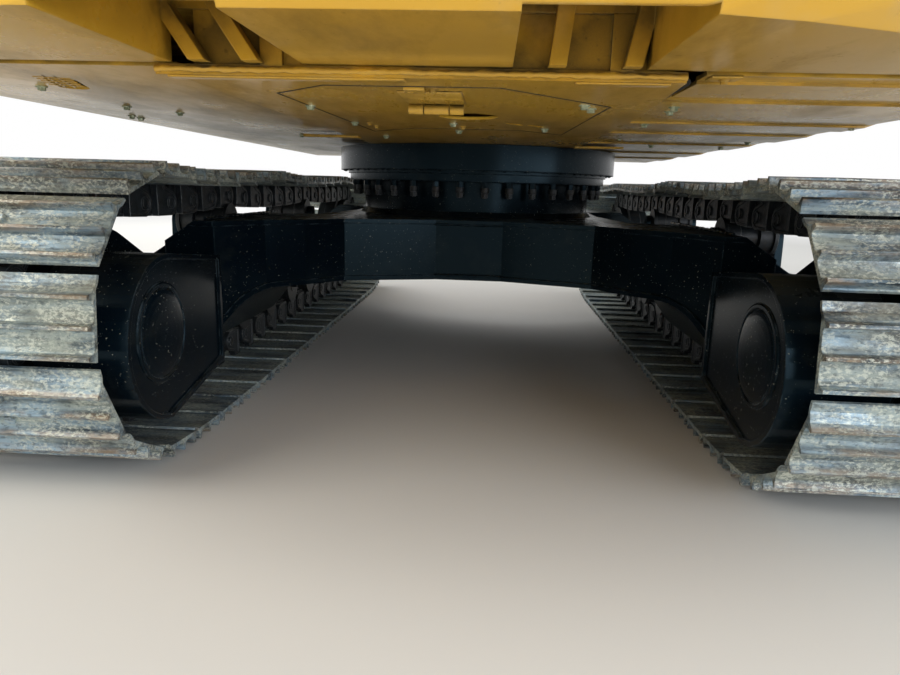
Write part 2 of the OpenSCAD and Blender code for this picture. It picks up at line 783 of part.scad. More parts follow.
module engine_hood() {
    color(yellow) placed() difference() {
        intersection() {
            across(house_x + 10, hood_x) hood_section(0);
            slab(-hood_half, hood_half) polygon([[house_x + 10, hood_low], [house_x + 50, hood_z],
                [hood_x - 40, hood_z], [hood_x, hood_low]]);
        }
        intersection() {
            across(house_x + 10 + sheet, hood_x - sheet) hood_section(sheet);
            slab(-hood_half, hood_half)
                polygon([[house_x + 10 + sheet, hood_low - sheet], [house_x + 50 + sheet, hood_z],
                    [hood_x - 40 - sheet, hood_z], [hood_x - sheet, hood_low - sheet]]);
        }
        for (i = [0 : hood_slots - 1], y = [-430, 60])
            box(hood_x - 220 - i * 60, hood_x - 196 - i * 60, y, y + 370, hood_z - sheet - 1, hood_z + 1);
    }
}

module centre_cover() {
    color(yellow) placed() level(house_z - 16, house_z)
        polygon([[hood_x + 10, -bay_half + play], [right_x1 - play, -bay_half + play],
            [right_x1 - play, -tank_in + play], [cab_rear - 50, -tank_in + play],
            [cab_rear - 50, bay_half - play], [hood_x + 10, bay_half - play]]);
}

exhaust_at = [-1300, -820];
module exhaust() {
    color(black) placed() translate([exhaust_at[0], exhaust_at[1], house_z]) difference() {
        union() {
            cylinder(r = 78, h = 14);
            cylinder(r = 60, h = 140);
            translate([0, 0, 138]) cylinder(r1 = 60, r2 = 46, h = 30);
            translate([0, 0, 166]) cylinder(r = 46, h = 260);
        }
        translate([0, 0, 200]) cylinder(r = 41, h = 300);
        translate([40, 0, 470]) rotate([0, 35, 0]) translate([-200, -200, -20]) cube([400, 400, 200]);
    }
}

module swing_motor() {
    color(black) placed() translate([-330, 0, floor_z]) rotate_extrude($fn = 48)
        polygon([[0, 0], [190, 0], [190, 24], [165, 30], [165, 190], [150, 215], [150, 250], [118, 262],
            [118, 420], [100, 440], [100, 478], [0, 478]]);
}

// Handrails: a loop along the right side over the stair, and a bar up the cab's front corner
rail_r = 17;
rail_y = tank_out - 80;
rail_top = 2330;
grab_z = [1350, 1840];
module rail(points) {
    for (i = [0 : len(points) - 2])
        bar_between(points[i], points[i + 1], rail_r);
    for (i = [1 : len(points) - 2])
        translate(points[i]) sphere(r = rail_r + 2, $fn = 24);
}

module handrails() {
    stair = [tank_x[5] - 90, -rail_y];
    front = [cab_front + 50, cab_y1 - 28];
    color(yellow) placed() {
        rail([[stair[0], stair[1], step_z[0] + play], [stair[0], stair[1], rail_top - 140],
            [stair[0] - 140, stair[1], rail_top], [tank_x[3] - 90, stair[1], rail_top],
            [tank_x[3] - 90, stair[1], house_z + play]]);
        rail([[cab_front + play, front[1], grab_z[0]], [front[0], front[1], grab_z[0]],
            [front[0], front[1], grab_z[1]], [cab_front + play, front[1], grab_z[1]]]);
    }
}

// Mirrors: a round-cornered head on a bent arm
mirror_arm_r = 11;
module mirror_head(at, turn, w, h) {
    translate(at) rotate([0, 0, turn]) across(-22, 22) soft_square(-w / 2, w / 2, -h / 2, h / 2, 30);
}

module mirrors() {
    stair = [tank_x[5] - 90, -rail_y - rail_r - play, rail_top - 190];
    out = [0, -70, 0];
    cab = [cab_front - 30, cab_y1 + 85, 2352];
    back = [-70, 0, 0];
    color(black) placed() {
        mirror_head(stair + out + [0, 0, 250], 12, 190, 290);
        bar_between(stair, stair + out + [0, -6, 0], mirror_arm_r);
        bar_between(stair + out - [0, 0, 6], stair + out + [0, 0, 190], mirror_arm_r);
        mirror_head(cab - [0, 0, 202], -14, 160, 330);
        bar_between(cab - [0, 0, 62], cab + [0, 0, 8], mirror_arm_r);
        bar_between(cab + [8, 0, 0], cab + back - [8, 0, 0], mirror_arm_r);
        bar_between(cab + back + [0, 6, 0], [cab[0] + back[0], cab_y1 + play, cab[2]], mirror_arm_r);
    }
}

// Work lamps: a square body on a foot with a round lens in front
module lamp(at) {
    translate(at) {
        across(-40, 30) soft_square(-58, 58, 24, 124, 18);
        translate([29, 0, 74]) rotate([0, 90, 0]) cylinder(r1 = 44, r2 = 40, h = 9);
        box(-22, 12, -20, 20, 0, 26);
    }
}

module lamps() {
    color(chrome) placed() {
        for (y = [cab_y0 + 150, cab_y1 - 150])
            lamp([cab_front - 390, y, cab_z + play]);
        lamp([tank_x[5] - 60, -side_right + 180, step_z[0] + play]);
    }
}

// Cab: hollow shell with its windows cut, door opening on the left side
cab_y1 = upper_half + 10;
cab_y0 = cab_y1 - cab_w;
cab_rear = cab_front - cab_l;
wall = 50;
cab_nose = 1900;
cab_brow = 2120;
roof_front = cab_front - 320;
front_glass_z = [1320, 2800];
rear_glass_z = [1900, 2780];
module cab_side() {
    polygon(concat([[cab_rear, deck_z], [cab_front - 30, deck_z], [cab_front, deck_z + 60],
        [cab_front, cab_nose], [cab_front - 30, cab_brow]], arc([roof_front, cab_z - 130], 130, 24, 90, 6),
        arc([cab_rear + 100, cab_z - 100], 100, 90, 180, 5)));
}

// Cab seen from ahead: walls upright, roof edges round
roof_round = 80;
module cab_front_section() {
    polygon(concat([[cab_y0, deck_z], [cab_y1, deck_z]],
        arc([cab_y1 - roof_round, cab_z - roof_round], roof_round, 0, 90, 6),
        arc([cab_y0 + roof_round, cab_z - roof_round], roof_round, 90, 180, 6)));
}

door_x0 = cab_rear + 560;
door_x1 = cab_front - 110;
module door_side(g) {
    polygon([[door_x0 + g, deck_z + 90 + g], [door_x1 - g, deck_z + 90 + g],
        [door_x1 - g, cab_nose], [door_x1 - 35 - g, cab_brow], [door_x1 - 215 - g, cab_z - 130 - g],
        [door_x0 + g, cab_z - 130 - g]]);
}

module cab_shell() {
    color(yellow) placed() {
        cab_knuckles();
        cab_walls();
        level(cab_z - 2, cab_z + 14)
            soft_square(cab_rear + 330, roof_front - 160, cab_y0 + 160, cab_y1 - 160, 50);
    }
}

module cab_walls() {
    difference() {
        intersection() {
            slab(cab_y0, cab_y1) cab_side();
            across(cab_rear, cab_front) cab_front_section();
        }
        intersection() {
            slab(cab_y0 + wall, cab_y1 - wall) offset(delta = -wall) cab_side();
            across(cab_rear, cab_front) offset(delta = -wall) cab_front_section();
        }
        slab(cab_y1 - wall - 1, cab_y1 + 1) door_side(0);
        slab(cab_y0 - 1, cab_y0 + wall + 1) offset(delta = -130) cab_side();
        box(cab_front - 300, cab_front + 10, cab_y0 + 60, cab_y1 - 60, front_glass_z[0], front_glass_z[1]);
        box(cab_rear - 10, cab_rear + wall + 10, cab_y0 + 80, cab_y1 - 80, rear_glass_z[0], rear_glass_z[1]);
        slab(cab_y1 - wall - 1, cab_y1 + 1) quarter_light();
    }
}

// Fixed window behind the door
module quarter_light() {
    polygon([[cab_rear + 90, 1800], [door_x0 - 60, 1800], [door_x0 - 60, cab_z - 120],
        [cab_rear + 90, cab_z - 120]]);
}

module cab_glass() {
    color(glass) placed() {
        slab(cab_y0 + 10, cab_y0 + 18) offset(delta = -130 - play) cab_side();
        slab(cab_y0 + 60 + play, cab_y1 - 60 - play) intersection() {
            translate([cab_front - 300 + play, front_glass_z[0] + play])
                square([310, front_glass_z[1] - front_glass_z[0] - 2 * play]);
            difference() {
                offset(delta = -6) cab_side();
                offset(delta = -14) cab_side();
            }
        }
        box(cab_rear + 10, cab_rear + 18, cab_y0 + 80 + play, cab_y1 - 80 - play,
            rear_glass_z[0] + play, rear_glass_z[1] - play);
        slab(cab_y1 - 18, cab_y1 - 10) offset(delta = -play) quarter_light();
    }
}

// Seat: pedestal, cushion with a round front edge, backrest, and a console on each side
seat_z = 1520;
seat_rear = 150;
seat_front = 620;
back_top = 2300;
console_z = 1800;
console_w = 110;
module cab_seat() {
    mid = (cab_y0 + cab_y1) / 2;
    foot = deck_z + wall;
    color(black) placed() {
        slab(mid - 120, mid + 120) polygon([[seat_rear + 50, foot], [seat_front, foot],
            [seat_front - 60, seat_z], [seat_rear + 110, seat_z]]);
        slab(mid - 250, mid + 250) polygon(concat([[seat_rear, seat_z - 2], [seat_front, seat_z - 2]],
            arc([seat_front + 20, seat_z + 80], 62, -70, 90, 6), [[seat_rear + 30, seat_z + 110]]));
        slab(mid - 235, mid + 235) polygon(concat([[seat_rear + 20, seat_z + 40],
            [seat_rear + 112, seat_z + 100]], arc([seat_rear, back_top], 40, 0, 160, 6)));
        for (y = [mid - 260 - console_w, mid + 260])
            slab(y, y + console_w) polygon([[seat_rear + 50, foot], [seat_front + 20, foot],
                [seat_front + 60, console_z - 100], [seat_front + 140, console_z - 40],
                [seat_front + 120, console_z], [seat_rear + 50, console_z]]);
    }
}

cab_hinge = [door_x0 - 8, cab_y1 + 16];
cab_hinge_z = [1500, 2500];
module cab_door() {
    color(yellow) placed() {
        slab(cab_y1 - wall + 2, cab_y1) difference() {
            door_side(gap);
            door_panes(0);
        }
        box(door_x1 - 230, door_x1 - 110, cab_y1 - 1, cab_y1 + 26, door_rail[0] + 30, door_rail[0] + 62);
        for (z = cab_hinge_z) {
            box(door_x0 - 8, door_x0 + 60, cab_y1 + play, cab_y1 + 8, z + play, z + 60);
            box(door_x0 + gap, door_x0 + 60, cab_y1 - 1, cab_y1 + 8, z + play, z + 60);
            translate([cab_hinge[0], cab_hinge[1], z + play]) cylinder(r = 14, h = 60 - play);
        }
    }
}

// Windows of the door, over and under its middle rail
door_rail = [1640, 1780];
module door_panes(g) {
    difference() {
        offset(delta = -80 - g) door_side(gap);
        translate([cab_rear, door_rail[0] - g]) square([cab_l, door_rail[1] - door_rail[0] + 2 * g]);
    }
}

// Fixed halves of the door's hinges
module cab_knuckles() {
    for (z = cab_hinge_z) {
        box(door_x0 - 70, door_x0 - 8, cab_y1 - 1, cab_y1 + 8, z - 60, z);
        translate([cab_hinge[0], cab_hinge[1], z - 60]) cylinder(r = 14, h = 60);
    }
}

module cab_door_glass() {
    color(glass) placed() slab(cab_y1 - 30, cab_y1 - 22) door_panes(play);
}

// Hydraulic cylinder between two points in a vertical plane: barrel with base eye and gland
neck = 112;
module barrel(a, b, y, r, len, rod_r, pin_r, eye_r, eye_w) {
    translate([a[0], y, a[1]]) rotate([0, -dir_of(a, b), 0]) difference() {
        union() {
            bar_y([0, 0], eye_r, -eye_w / 2, eye_w / 2);
            box(0, neck + 2, -eye_w / 2, eye_w / 2, -r * 0.6, r * 0.6);
            rotate([0, 90, 0]) {
                translate([0, 0, neck]) cylinder(r = r, h = len - neck);
                translate([0, 0, len - 90]) cylinder(r = r + 8, h = 60);
            }
        }
        bar_y([0, 0], pin_r + play, -eye_w, eye_w);
        rotate([0, 90, 0]) {
            translate([0, 0, neck + 30]) cylinder(r = r - 14, h = len - neck - 90);
            translate([0, 0, neck + 40]) cylinder(r = rod_r + play, h = len);
        }
    }
}

// Rod with its eye at b, reaching back into the barrel
module rod(a, b, y, r, len, eye_r, eye_w) {
    translate([b[0], y, b[1]]) rotate([0, 180 - dir_of(a, b), 0]) {
        bar_y([0, 0], eye_r, -eye_w / 2, eye_w / 2);
        rotate([0, 90, 0]) cylinder(r = r, h = len);
    }
}

boom_rod_pin = boom_point(boom_cyl_pin);
boom_barrel_r = 73;
boom_barrel_len = 1420;
boom_rod_len = 1420;
module boom_barrels() {
    color(yellow) placed() both()
        barrel(boom_cyl_base, boom_rod_pin, cyl_y, boom_barrel_r, boom_barrel_len, 42, 38, 78,
            cyl_eye_w);
}

module boom_rods() {
    color(chrome) placed() both()
        rod(boom_cyl_base, boom_rod_pin, cyl_y, 42, boom_rod_len, 78, cyl_eye_w);
}

stick_base = boom_point(stick_cyl_base);
stick_rod_pin = stick_point(stick_cyl_pin);
stick_barrel_r = 82;
stick_barrel_len = 2150;
stick_rod_len = 2600;
stick_eye_w = 104;
module stick_barrel() {
    color(yellow) placed()
        barrel(stick_base, stick_rod_pin, 0, stick_barrel_r, stick_barrel_len, 48, 40, 82,
            stick_eye_w);
}

module stick_rod() {
    color(chrome) placed()
        rod(stick_base, stick_rod_pin, 0, 48, stick_rod_len, 82, stick_eye_w);
}

bucket_base = stick_point(bucket_cyl_base);
bucket_barrel_r = 70;
bucket_barrel_len = 1450;
bucket_rod_len = 1500;
bucket_eye_w = 96;
module bucket_barrel() {
    color(yellow) placed()
        barrel(bucket_base, link_at, 0, bucket_barrel_r, bucket_barrel_len, 40, 36, 74,
            bucket_eye_w);
}

module bucket_rod() {
    color(chrome) placed()
        rod(bucket_base, link_at, 0, 40, bucket_rod_len, 74, bucket_eye_w);
}

// Boom stations: distance along the boom's line, middle height, half the depth
boom_stations = [[0, 0, 120], [500, 330, 215], [1300, 770, 310], [2200, 960, 345],
    [3000, 850, 310], [boom_len - 1480, 460, 235], [boom_len - 430, 110, 160], [boom_len, 0, 125]];
module boom_outline() {
    rows = smooth(boom_stations);
    polygon(concat([for (s = rows) [s[0], s[1] + s[2]]],
        [for (i = [len(rows) - 1 : -1 : 0]) [rows[i][0], rows[i][1] - rows[i][2]]]));
}

tip_slot = 650;
lug_t = 34;
module boom() {
    color(yellow) placed() on_boom() difference() {
        union() {
            slab(-boom_w / 2 + 12, boom_w / 2 - 12) boom_outline();
            slab(-boom_w / 2, boom_w / 2) difference() {
                boom_outline();
                offset(delta = -22) boom_outline();
            }
            bar_y([0, 0], 120, -beam_in + gap, beam_in - gap);
            bar_y([boom_len, 0], 125, -boom_w / 2, boom_w / 2);
            bar_y(boom_cyl_pin, 95, -cyl_y + cyl_eye_w / 2 + gap, cyl_y - cyl_eye_w / 2 - gap);
            bar_y(boom_cyl_pin, 150, -boom_w / 2 - 10, boom_w / 2 + 10);
            bar_y([0, 0], 170, -boom_w / 2 - 10, boom_w / 2 + 10);
            both() slab(stick_eye_w / 2 + 4, stick_eye_w / 2 + 4 + lug_t)
                polygon(concat([[2620, 1120], [2080, 1200]], arc(stick_cyl_base, 95, 170, -40, 10)));
        }
        bar_y([boom_len, 0], tip_slot, -stick_w / 2 - gap, stick_w / 2 + gap);
        bar_y([0, 0], foot_pin_r + play, -beam_in, beam_in);
    }
    color(black) placed() on_boom() {
        bar_y([boom_len, 0], 45, -boom_w / 2 - 20, boom_w / 2 + 20);
        bar_y(stick_cyl_base, 40, -stick_eye_w / 2 - lug_t - 20, stick_eye_w / 2 + lug_t + 20);
    }
}

// Stick stations: distance along the stick's line, inner height, outer height
stick_stations = [[-590, 235, 300], [-480, 150, 365], [-200, -60, 415], [0, -165, 430],
    [420, -170, 470], [1400, -140, 330], [2300, -110, 150], [2850, -95, 95]];
module stick_outline() {
    rows = smooth(stick_stations, 3);
    polygon(concat([for (s = rows) [s[0], s[2]]],
        [for (i = [len(rows) - 1 : -1 : 0]) [rows[i][0], rows[i][1]]]));
}

module stick() {
    color(yellow) placed() on_stick() difference() {
        union() {
            slab(-stick_w / 2 + 10, stick_w / 2 - 10) stick_outline();
            slab(-stick_w / 2, stick_w / 2) difference() {
                stick_outline();
                offset(delta = -20) stick_outline();
            }
            bar_y([0, 0], 110, -stick_w / 2, stick_w / 2);
            bar_y([stick_len, 0], 100, -stick_w / 2, stick_w / 2);
            bar_y(guide_pin, 80, -stick_w / 2, stick_w / 2);
            both() slab(stick_eye_w / 2 + 5, stick_eye_w / 2 + 5 + lug_t) polygon(
                concat([[-300, 60], [-560, 190]], arc(stick_cyl_pin, 95, 240, 60, 10),
                    [[-480, 350], [-300, 380]]));
            both() slab(bucket_eye_w / 2 + 4, bucket_eye_w / 2 + 4 + lug_t)
                polygon(concat([[460, 400], [40, 400]], arc(bucket_cyl_base, 90, 170, -40, 10)));
            bar_y(bucket_cyl_base, 36, -bucket_eye_w / 2 - lug_t - 18, bucket_eye_w / 2 + lug_t + 18);
        }
        slab(-stick_eye_w / 2 - 5, stick_eye_w / 2 + 5) translate(stick_cyl_pin) circle(r = 105);
        bar_y([0, 0], 45 + play, -stick_w, stick_w);
        bar_y([stick_len, 0], 40 + play, -stick_w, stick_w);
        bar_y(guide_pin, 38 + play, -stick_w, stick_w);
    }
}

guide_t = 30;
ear_y = stick_w / 2 + gap;
ear_t = 40;
guide_y0 = ear_y + ear_t + gap;
module guide_links() {
    color(yellow) placed() {
        both() slab(guide_y0, guide_y0 + guide_t) hull() {
            translate(guide_at) circle(r = link_eye_r);
            translate(link_at) circle(r = link_eye_r);
        }
        both() bar_y(guide_at, 60, stick_w / 2 + play, guide_y0 + 1);
        bar_y(guide_at, 38, -guide_y0, guide_y0);
        both() bar_y(link_at, 60, stick_w / 2 + play, guide_y0 + 1);
        both() bar_y(link_at, 36, fork_y0 + 4, guide_y0);
    }
}

fork_y0 = bucket_eye_w / 2 + 6;
fork_y1 = stick_w / 2;
module power_link() {
    color(yellow) placed() difference() {
        union() {
            both() slab(fork_y0, fork_y1) hull() {
                translate(link_at) circle(r = 72);
                translate(link_pin) circle(r = 70);
            }
            bar_y(link_pin, 72, -fork_y1, fork_y1);
        }
        bar_y(link_at, 36 + play, -stick_w, stick_w);
    }
}

// Bucket: sides, wrapped shell, ears and teeth, in its own plane about the bucket pin
mouth_a = 55;
tip_reach = bucket_pin_h / sin(mouth_a);
tip_at = -tip_reach * [cos(mouth_a), sin(mouth_a)];
mouth_l = 1170;
lip_at = tip_at + mouth_l * [cos(mouth_a), sin(mouth_a)];
shell_r = 555;
floor_l = 720;
shell_c = tip_at + [floor_l, shell_r];
shell_t = 22;
side_t = 25;
cutter_t = 20;
heel_w = 130;
heel_t = 12;
module bucket_outline() {
    polygon(concat([tip_at + [150, 0]], arc(shell_c, shell_r, 270, 380, 12), [lip_at]));
}

module bucket() {
    color(yellow) placed() on_bucket() {
        difference() {
            union() {
                slab(-bucket_w / 2, bucket_w / 2) bucket_outline();
                both() slab(ear_y, ear_y + ear_t) polygon(concat([lip_at + [20, -30]],
                    arc([0, 0], 95, 190, 80, 6),
                    arc(bucket_link * [cos(link_a), sin(link_a)], 90, 70, -20, 6),
                    [shell_c + 540 * [cos(15), sin(15)]]));
            }
            slab(-bucket_w / 2 + side_t, bucket_w / 2 - side_t) difference() {
                offset(delta = -shell_t) bucket_outline();
            }
            slab(-bucket_w / 2 + side_t, bucket_w / 2 - side_t)
                polygon([tip_at + [170, shell_t], tip_at + [300, shell_t], lip_at + [20, -60],
                    lip_at + [-60, 20], tip_at + [60, 100]]);
        }
        both() slab(bucket_w / 2 - 1, bucket_w / 2 + cutter_t)
            polygon([tip_at + [140, 10], tip_at + [330, 10], lip_at + [90, -120],
                lip_at + [40, 12], lip_at + [-14, -8], tip_at + [60, 70]]);
        for (y = [-0.5, 0, 0.5]) translate([0, y * (bucket_w - heel_w), 0])
            slab(-heel_w / 2, heel_w / 2) polygon(concat(arc(shell_c, shell_r + heel_t, 286, 345, 6),
                arc(shell_c, shell_r - 2, 345, 286, 6)));
        bar_y([0, 0], 40, -ear_y - ear_t - 18, ear_y + ear_t + 18);
        for (i = [0 : bucket_teeth - 1])
            translate([0, -bucket_w / 2 + 60 + i * (bucket_w - 120) / (bucket_teeth - 1), 0]) {
                slab(-48, 48) polygon([tip_at + [84, 0], tip_at + [240, 0], tip_at + [240, 40],
                    tip_at + [160, 72], tip_at + [84, 58]]);
                slab(-38, 38) polygon([tip_at, tip_at + [86, 4], tip_at + [86, 50], tip_at + [0, 12]]);
            }
    }
}

car_body();
track_frame(1);  // track_frame_left
track_frame(-1);  // track_frame_right
motor_guard(1);  // motor_guard_left
motor_guard(-1);  // motor_guard_right
sprockets();
idler_wheels();
bottom_rollers();
carrier_rollers();
track(1);  // track_left
track(-1);  // track_right
slewing_ring();
ring_band();
main_frame();
belly_pans();
belly_hatch();
counterweight();
engine();
fuel_tank();
hydraulic_tank();
tool_box();
side_housing_left();
side_housing_right();
engine_hood();
centre_cover();
door_left();
door_right();
exhaust();
swing_motor();
handrails();
mirrors();
lamps();
cab_shell();
cab_glass();
cab_seat();
cab_door();
cab_door_glass();
boom();
boom_barrels();
boom_rods();
stick();
stick_barrel();
stick_rod();
bucket_barrel();
bucket_rod();
guide_links();
power_link();
bucket();
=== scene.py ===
from functools import partial
import json
import math
import random

import bpy
from mathutils import Matrix, Vector


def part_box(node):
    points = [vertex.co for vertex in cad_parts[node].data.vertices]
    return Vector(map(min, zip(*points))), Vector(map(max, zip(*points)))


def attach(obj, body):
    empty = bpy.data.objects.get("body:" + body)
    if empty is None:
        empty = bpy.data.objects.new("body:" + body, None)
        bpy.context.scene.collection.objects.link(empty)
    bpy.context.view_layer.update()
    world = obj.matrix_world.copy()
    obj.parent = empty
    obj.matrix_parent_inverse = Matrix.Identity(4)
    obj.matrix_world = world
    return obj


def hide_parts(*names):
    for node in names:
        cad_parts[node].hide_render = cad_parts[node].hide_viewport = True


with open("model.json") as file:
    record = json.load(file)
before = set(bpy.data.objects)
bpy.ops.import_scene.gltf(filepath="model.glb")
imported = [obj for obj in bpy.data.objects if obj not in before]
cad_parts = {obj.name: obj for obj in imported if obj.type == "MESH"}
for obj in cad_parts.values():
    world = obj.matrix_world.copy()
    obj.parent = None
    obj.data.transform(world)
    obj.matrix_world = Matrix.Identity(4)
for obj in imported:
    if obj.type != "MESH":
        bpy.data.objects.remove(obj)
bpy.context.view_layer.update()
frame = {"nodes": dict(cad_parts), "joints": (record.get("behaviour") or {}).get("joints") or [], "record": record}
random.seed(7014)

joints = {joint["name"]: joint for joint in frame["joints"]}
swingAt = Vector(joints["swing"]["pos_m"])


def spot(x, y, z):  # a place given about the swing axis, in metres
    return Vector((swingAt.x + x, y, z))


print("stage: camera")
camera = {
    "focalMm": 27.04, "sensorMm": 36.0,
    "back": 3.745, "right": 0.095, "height": 0.845,  # from the swing axis, m
    "yaw": 0.057, "pitch": 0.219, "roll": -0.027,  # radians
}


def addCamera():
    made = bpy.data.objects.new("camera", bpy.data.cameras.new("camera"))
    bpy.context.scene.collection.objects.link(made)
    made.data.lens = camera["focalMm"]
    made.data.sensor_width = camera["sensorMm"]
    made.data.clip_end = 200
    yaw, pitch, roll = camera["yaw"], camera["pitch"], camera["roll"]
    ahead = Vector((math.cos(yaw) * math.cos(pitch), math.sin(yaw) * math.cos(pitch), -math.sin(pitch)))
    right = ahead.cross(Vector((0, 0, 1))).normalized()
    down = ahead.cross(right)
    turnedRight = math.cos(roll) * right + math.sin(roll) * down
    turnedDown = math.cos(roll) * down - math.sin(roll) * right
    turn = Matrix((turnedRight, -turnedDown, -ahead)).transposed().to_4x4()
    made.matrix_world = Matrix.Translation(spot(-camera["back"], -camera["right"], camera["height"])) @ turn
    bpy.context.scene.camera = made


addCamera()


def toLinear(hexColour):
    channels = [int(hexColour[i:i + 2], 16) / 255 for i in (1, 3, 5)]
    linear = [c / 12.92 if c <= 0.04045 else ((c + 0.055) / 1.055) ** 2.4 for c in channels]
    return (*linear, 1.0)


# Adds one node and gives back its output. Values and links fill its sockets in order, or by a name
# with a capital; names in small letters are the node's own settings.
def addNode(tree, kind, *values, out=None, **named):
    made = tree.nodes.new("ShaderNode" + kind)
    sockets = []
    for name, value in named.items():
        if name[0].isupper():
            sockets.append((made.inputs[name.replace("_", " ")], value))
        else:
            setattr(made, name, value)
    sockets += zip([socket for socket in made.inputs if socket.enabled], values)
    for socket, value in sockets:
        if isinstance(value, bpy.types.NodeSocket):
            tree.links.new(value, socket)
        else:
            socket.default_value = toLinear(value) if isinstance(value, str) else value
    if out is not None:
        return made.outputs[out]
    return next((socket for socket in made.outputs if socket.enabled), None)


def startMaterial(name):
    made = bpy.data.materials.new(name)
    made.use_nodes = True
    made.node_tree.nodes.clear()
    return made, partial(addNode, made.node_tree)


def finishMaterial(made, add, **sockets):
    add("OutputMaterial", add("BsdfPrincipled", **sockets))
    return made


# Blotches of a real size, as a share that runs from 0 to top between two levels of the noise
def blotches(add, sizeMm, detail=3.0, low=0.0, high=1.0, top=1.0, stretch=(1, 1, 1), rough=0.5):
    place = add("Mapping", add("TexCoord", out="Object"), Scale=stretch)
    noise = add("TexNoise", place, 1000.0 / sizeMm, detail, rough)
    return add("MapRange", noise, low, high, 0.0, top)


# Lays marks over a base: dirt and wear, and on the enamel also painted shade and painted highlight. A layer is its
# colour, how much it dulls, how much metal it bares, and the shares that are multiplied for it.
def layOver(add, layers, colour, dull, metal=0.0):
    for tint, dulling, baring, share, *others in layers:
        for other in others:
            share = add("Math", share, other, operation="MULTIPLY")
        colour = add("Mix", share, colour, tint, data_type="RGBA")
        if dulling:
            dull = add("Math", share, dulling, dull, operation="MULTIPLY_ADD")
        if baring:
            metal = add("Math", share, baring, metal, operation="MULTIPLY_ADD")
    return {"Base_Color": colour, "Roughness": dull, "Metallic": metal}


# Enamel sprayed on welded plate: gloss with a slow ripple, smears and specks, dust where it can lie;
# underneath, a darker film that is partly painted shade; painted shade in its nooks; edges lighter from wear and
# painted highlight
def enamelledPlate(name, look):
    made, add = startMaterial(name)
    flat = add("NewGeometry", out="Normal")
    up = add("SeparateXYZ", flat, out="Z")
    soft = add("Bevel", look["edgeMm"] / 1000, samples=3)  # the shot and the paint round edges
    edge = add("VectorMath", soft, flat, operation="DOT_PRODUCT")
    # how closed in each point is, for the painted shade in the nooks
    nook = add("AmbientOcclusion", Distance=look["nookShadeMm"] / 1000, samples=4, out="AO")
    cloud = blotches(add, look["cloudMm"], 4)
    base = add("Mix", add("MapRange", cloud, 0.35, 0.7), look["colour"], look["shade"], data_type="RGBA")
    dull = add("MapRange", cloud, 0.3, 0.8, look["roughness"], look["roughness"] + 0.10)
    layers = [
        # darker on faces that look down: partly road film, partly painted shade
        (look["underFilmAndShadeColour"], look["underFilmAndShadeDull"], 0, add("MapRange", up, -0.4, -0.9),
         blotches(add, 420, 5, 0.30, 0.62, look["underFilmAndShade"], (1, 0.5, 1), 0.6)),
        (look["soilColour"], 0.35, 0, add("MapRange", up, -0.6, -0.95),
         blotches(add, 300, 7, 0.47, 0.66, look["soil"], (0.4, 1, 1), 0.68)),
        (look["dust"], 0.35, 0,
         blotches(add, look["smearMm"], 5, 0.54, 0.74, look["smear"], (0.35, 1, 1), 0.62)),
        (look["dust"], 0.35, 0, add("MapRange", up, 0.5, 1.0),
         blotches(add, 180, 6, 0.3, 0.7, look["settled"])),
        (look["speckColour"], 0.4, 0, blotches(add, look["speckMm"], 2, 0.69, 0.74, look["specks"]),
         blotches(add, 300, 3, 0.38, 0.60)),
        # painted shade: darker in the nooks, where the occlusion is strong, in blotches
        (look["nookShadeColour"], 0.4, 0, add("MapRange", nook, 0.80, 0.40),
         blotches(add, 90, 6, 0.30, 0.60, look["nookShade"])),
        # lighter on the edges: partly edge wear, partly painted highlight
        (look["edgeWearAndHighlightColour"], 0, 0, add("MapRange", edge, 0.985, 0.90),
         blotches(add, 45, 4, 0.46, 0.62, look["edgeWear"])),
    ]
    bump = add("Bump", Strength=0.35, Distance=look["rippleDepthMm"] / 1000,
               Height=blotches(add, look["rippleMm"], 1), Normal=soft)
    return finishMaterial(made, add, **layOver(add, layers, base, dull), Normal=bump, IOR=look["ior"],
                          Specular_IOR_Level=look["specular"], Specular_Tint=look["specularTint"],
                          Coat_Weight=look["coat"], Coat_Roughness=0.10)


# In these looks the film under the plates is partly painted shade, the grime in the nooks is painted shade, and
# the edge colour is partly painted highlight
yellowEnamelLook = {
    "colour": "#DDAE3A", "shade": "#CE9C2E", "dust": "#B5A076", "cloudMm": 900, "smearMm": 240,
    "smear": 0.34, "underFilmAndShade": 0.45, "underFilmAndShadeColour": "#A98A4A", "underFilmAndShadeDull": 0.05, "settled": 0.42,
    "speckMm": 13, "specks": 0.45, "speckColour": "#6E5A30", "edgeMm": 4, "edgeWear": 0.35,
    "edgeWearAndHighlightColour": "#F0D283", "roughness": 0.22, "rippleMm": 240, "rippleDepthMm": 1.4, "coat": 0.30,
    "ior": 1.5, "specular": 0.38, "specularTint": "#FFF4DC", "soil": 0.62, "soilColour": "#6A5428",
    "nookShade": 0.9, "nookShadeColour": "#2E2A18", "nookShadeMm": 200,
}
blackEnamelLook = {
    "colour": "#040B12", "shade": "#08131A", "dust": "#4E5048", "cloudMm": 500, "smearMm": 150,
    "smear": 0.12, "underFilmAndShade": 0.10, "underFilmAndShadeColour": "#0E1412", "underFilmAndShadeDull": 0.1, "settled": 0.40,
    "speckMm": 7, "specks": 0.75, "speckColour": "#9A9A8C", "edgeMm": 5, "edgeWear": 0.55,
    "edgeWearAndHighlightColour": "#54626A", "roughness": 0.17, "rippleMm": 160, "rippleDepthMm": 1.0, "coat": 0.0,
    "ior": 1.45, "specular": 0.20, "specularTint": "#A9D2E4", "soil": 0.0, "soilColour": "#2A281E",
    "nookShade": 0.3, "nookShadeColour": "#1A1A14", "nookShadeMm": 60,
}


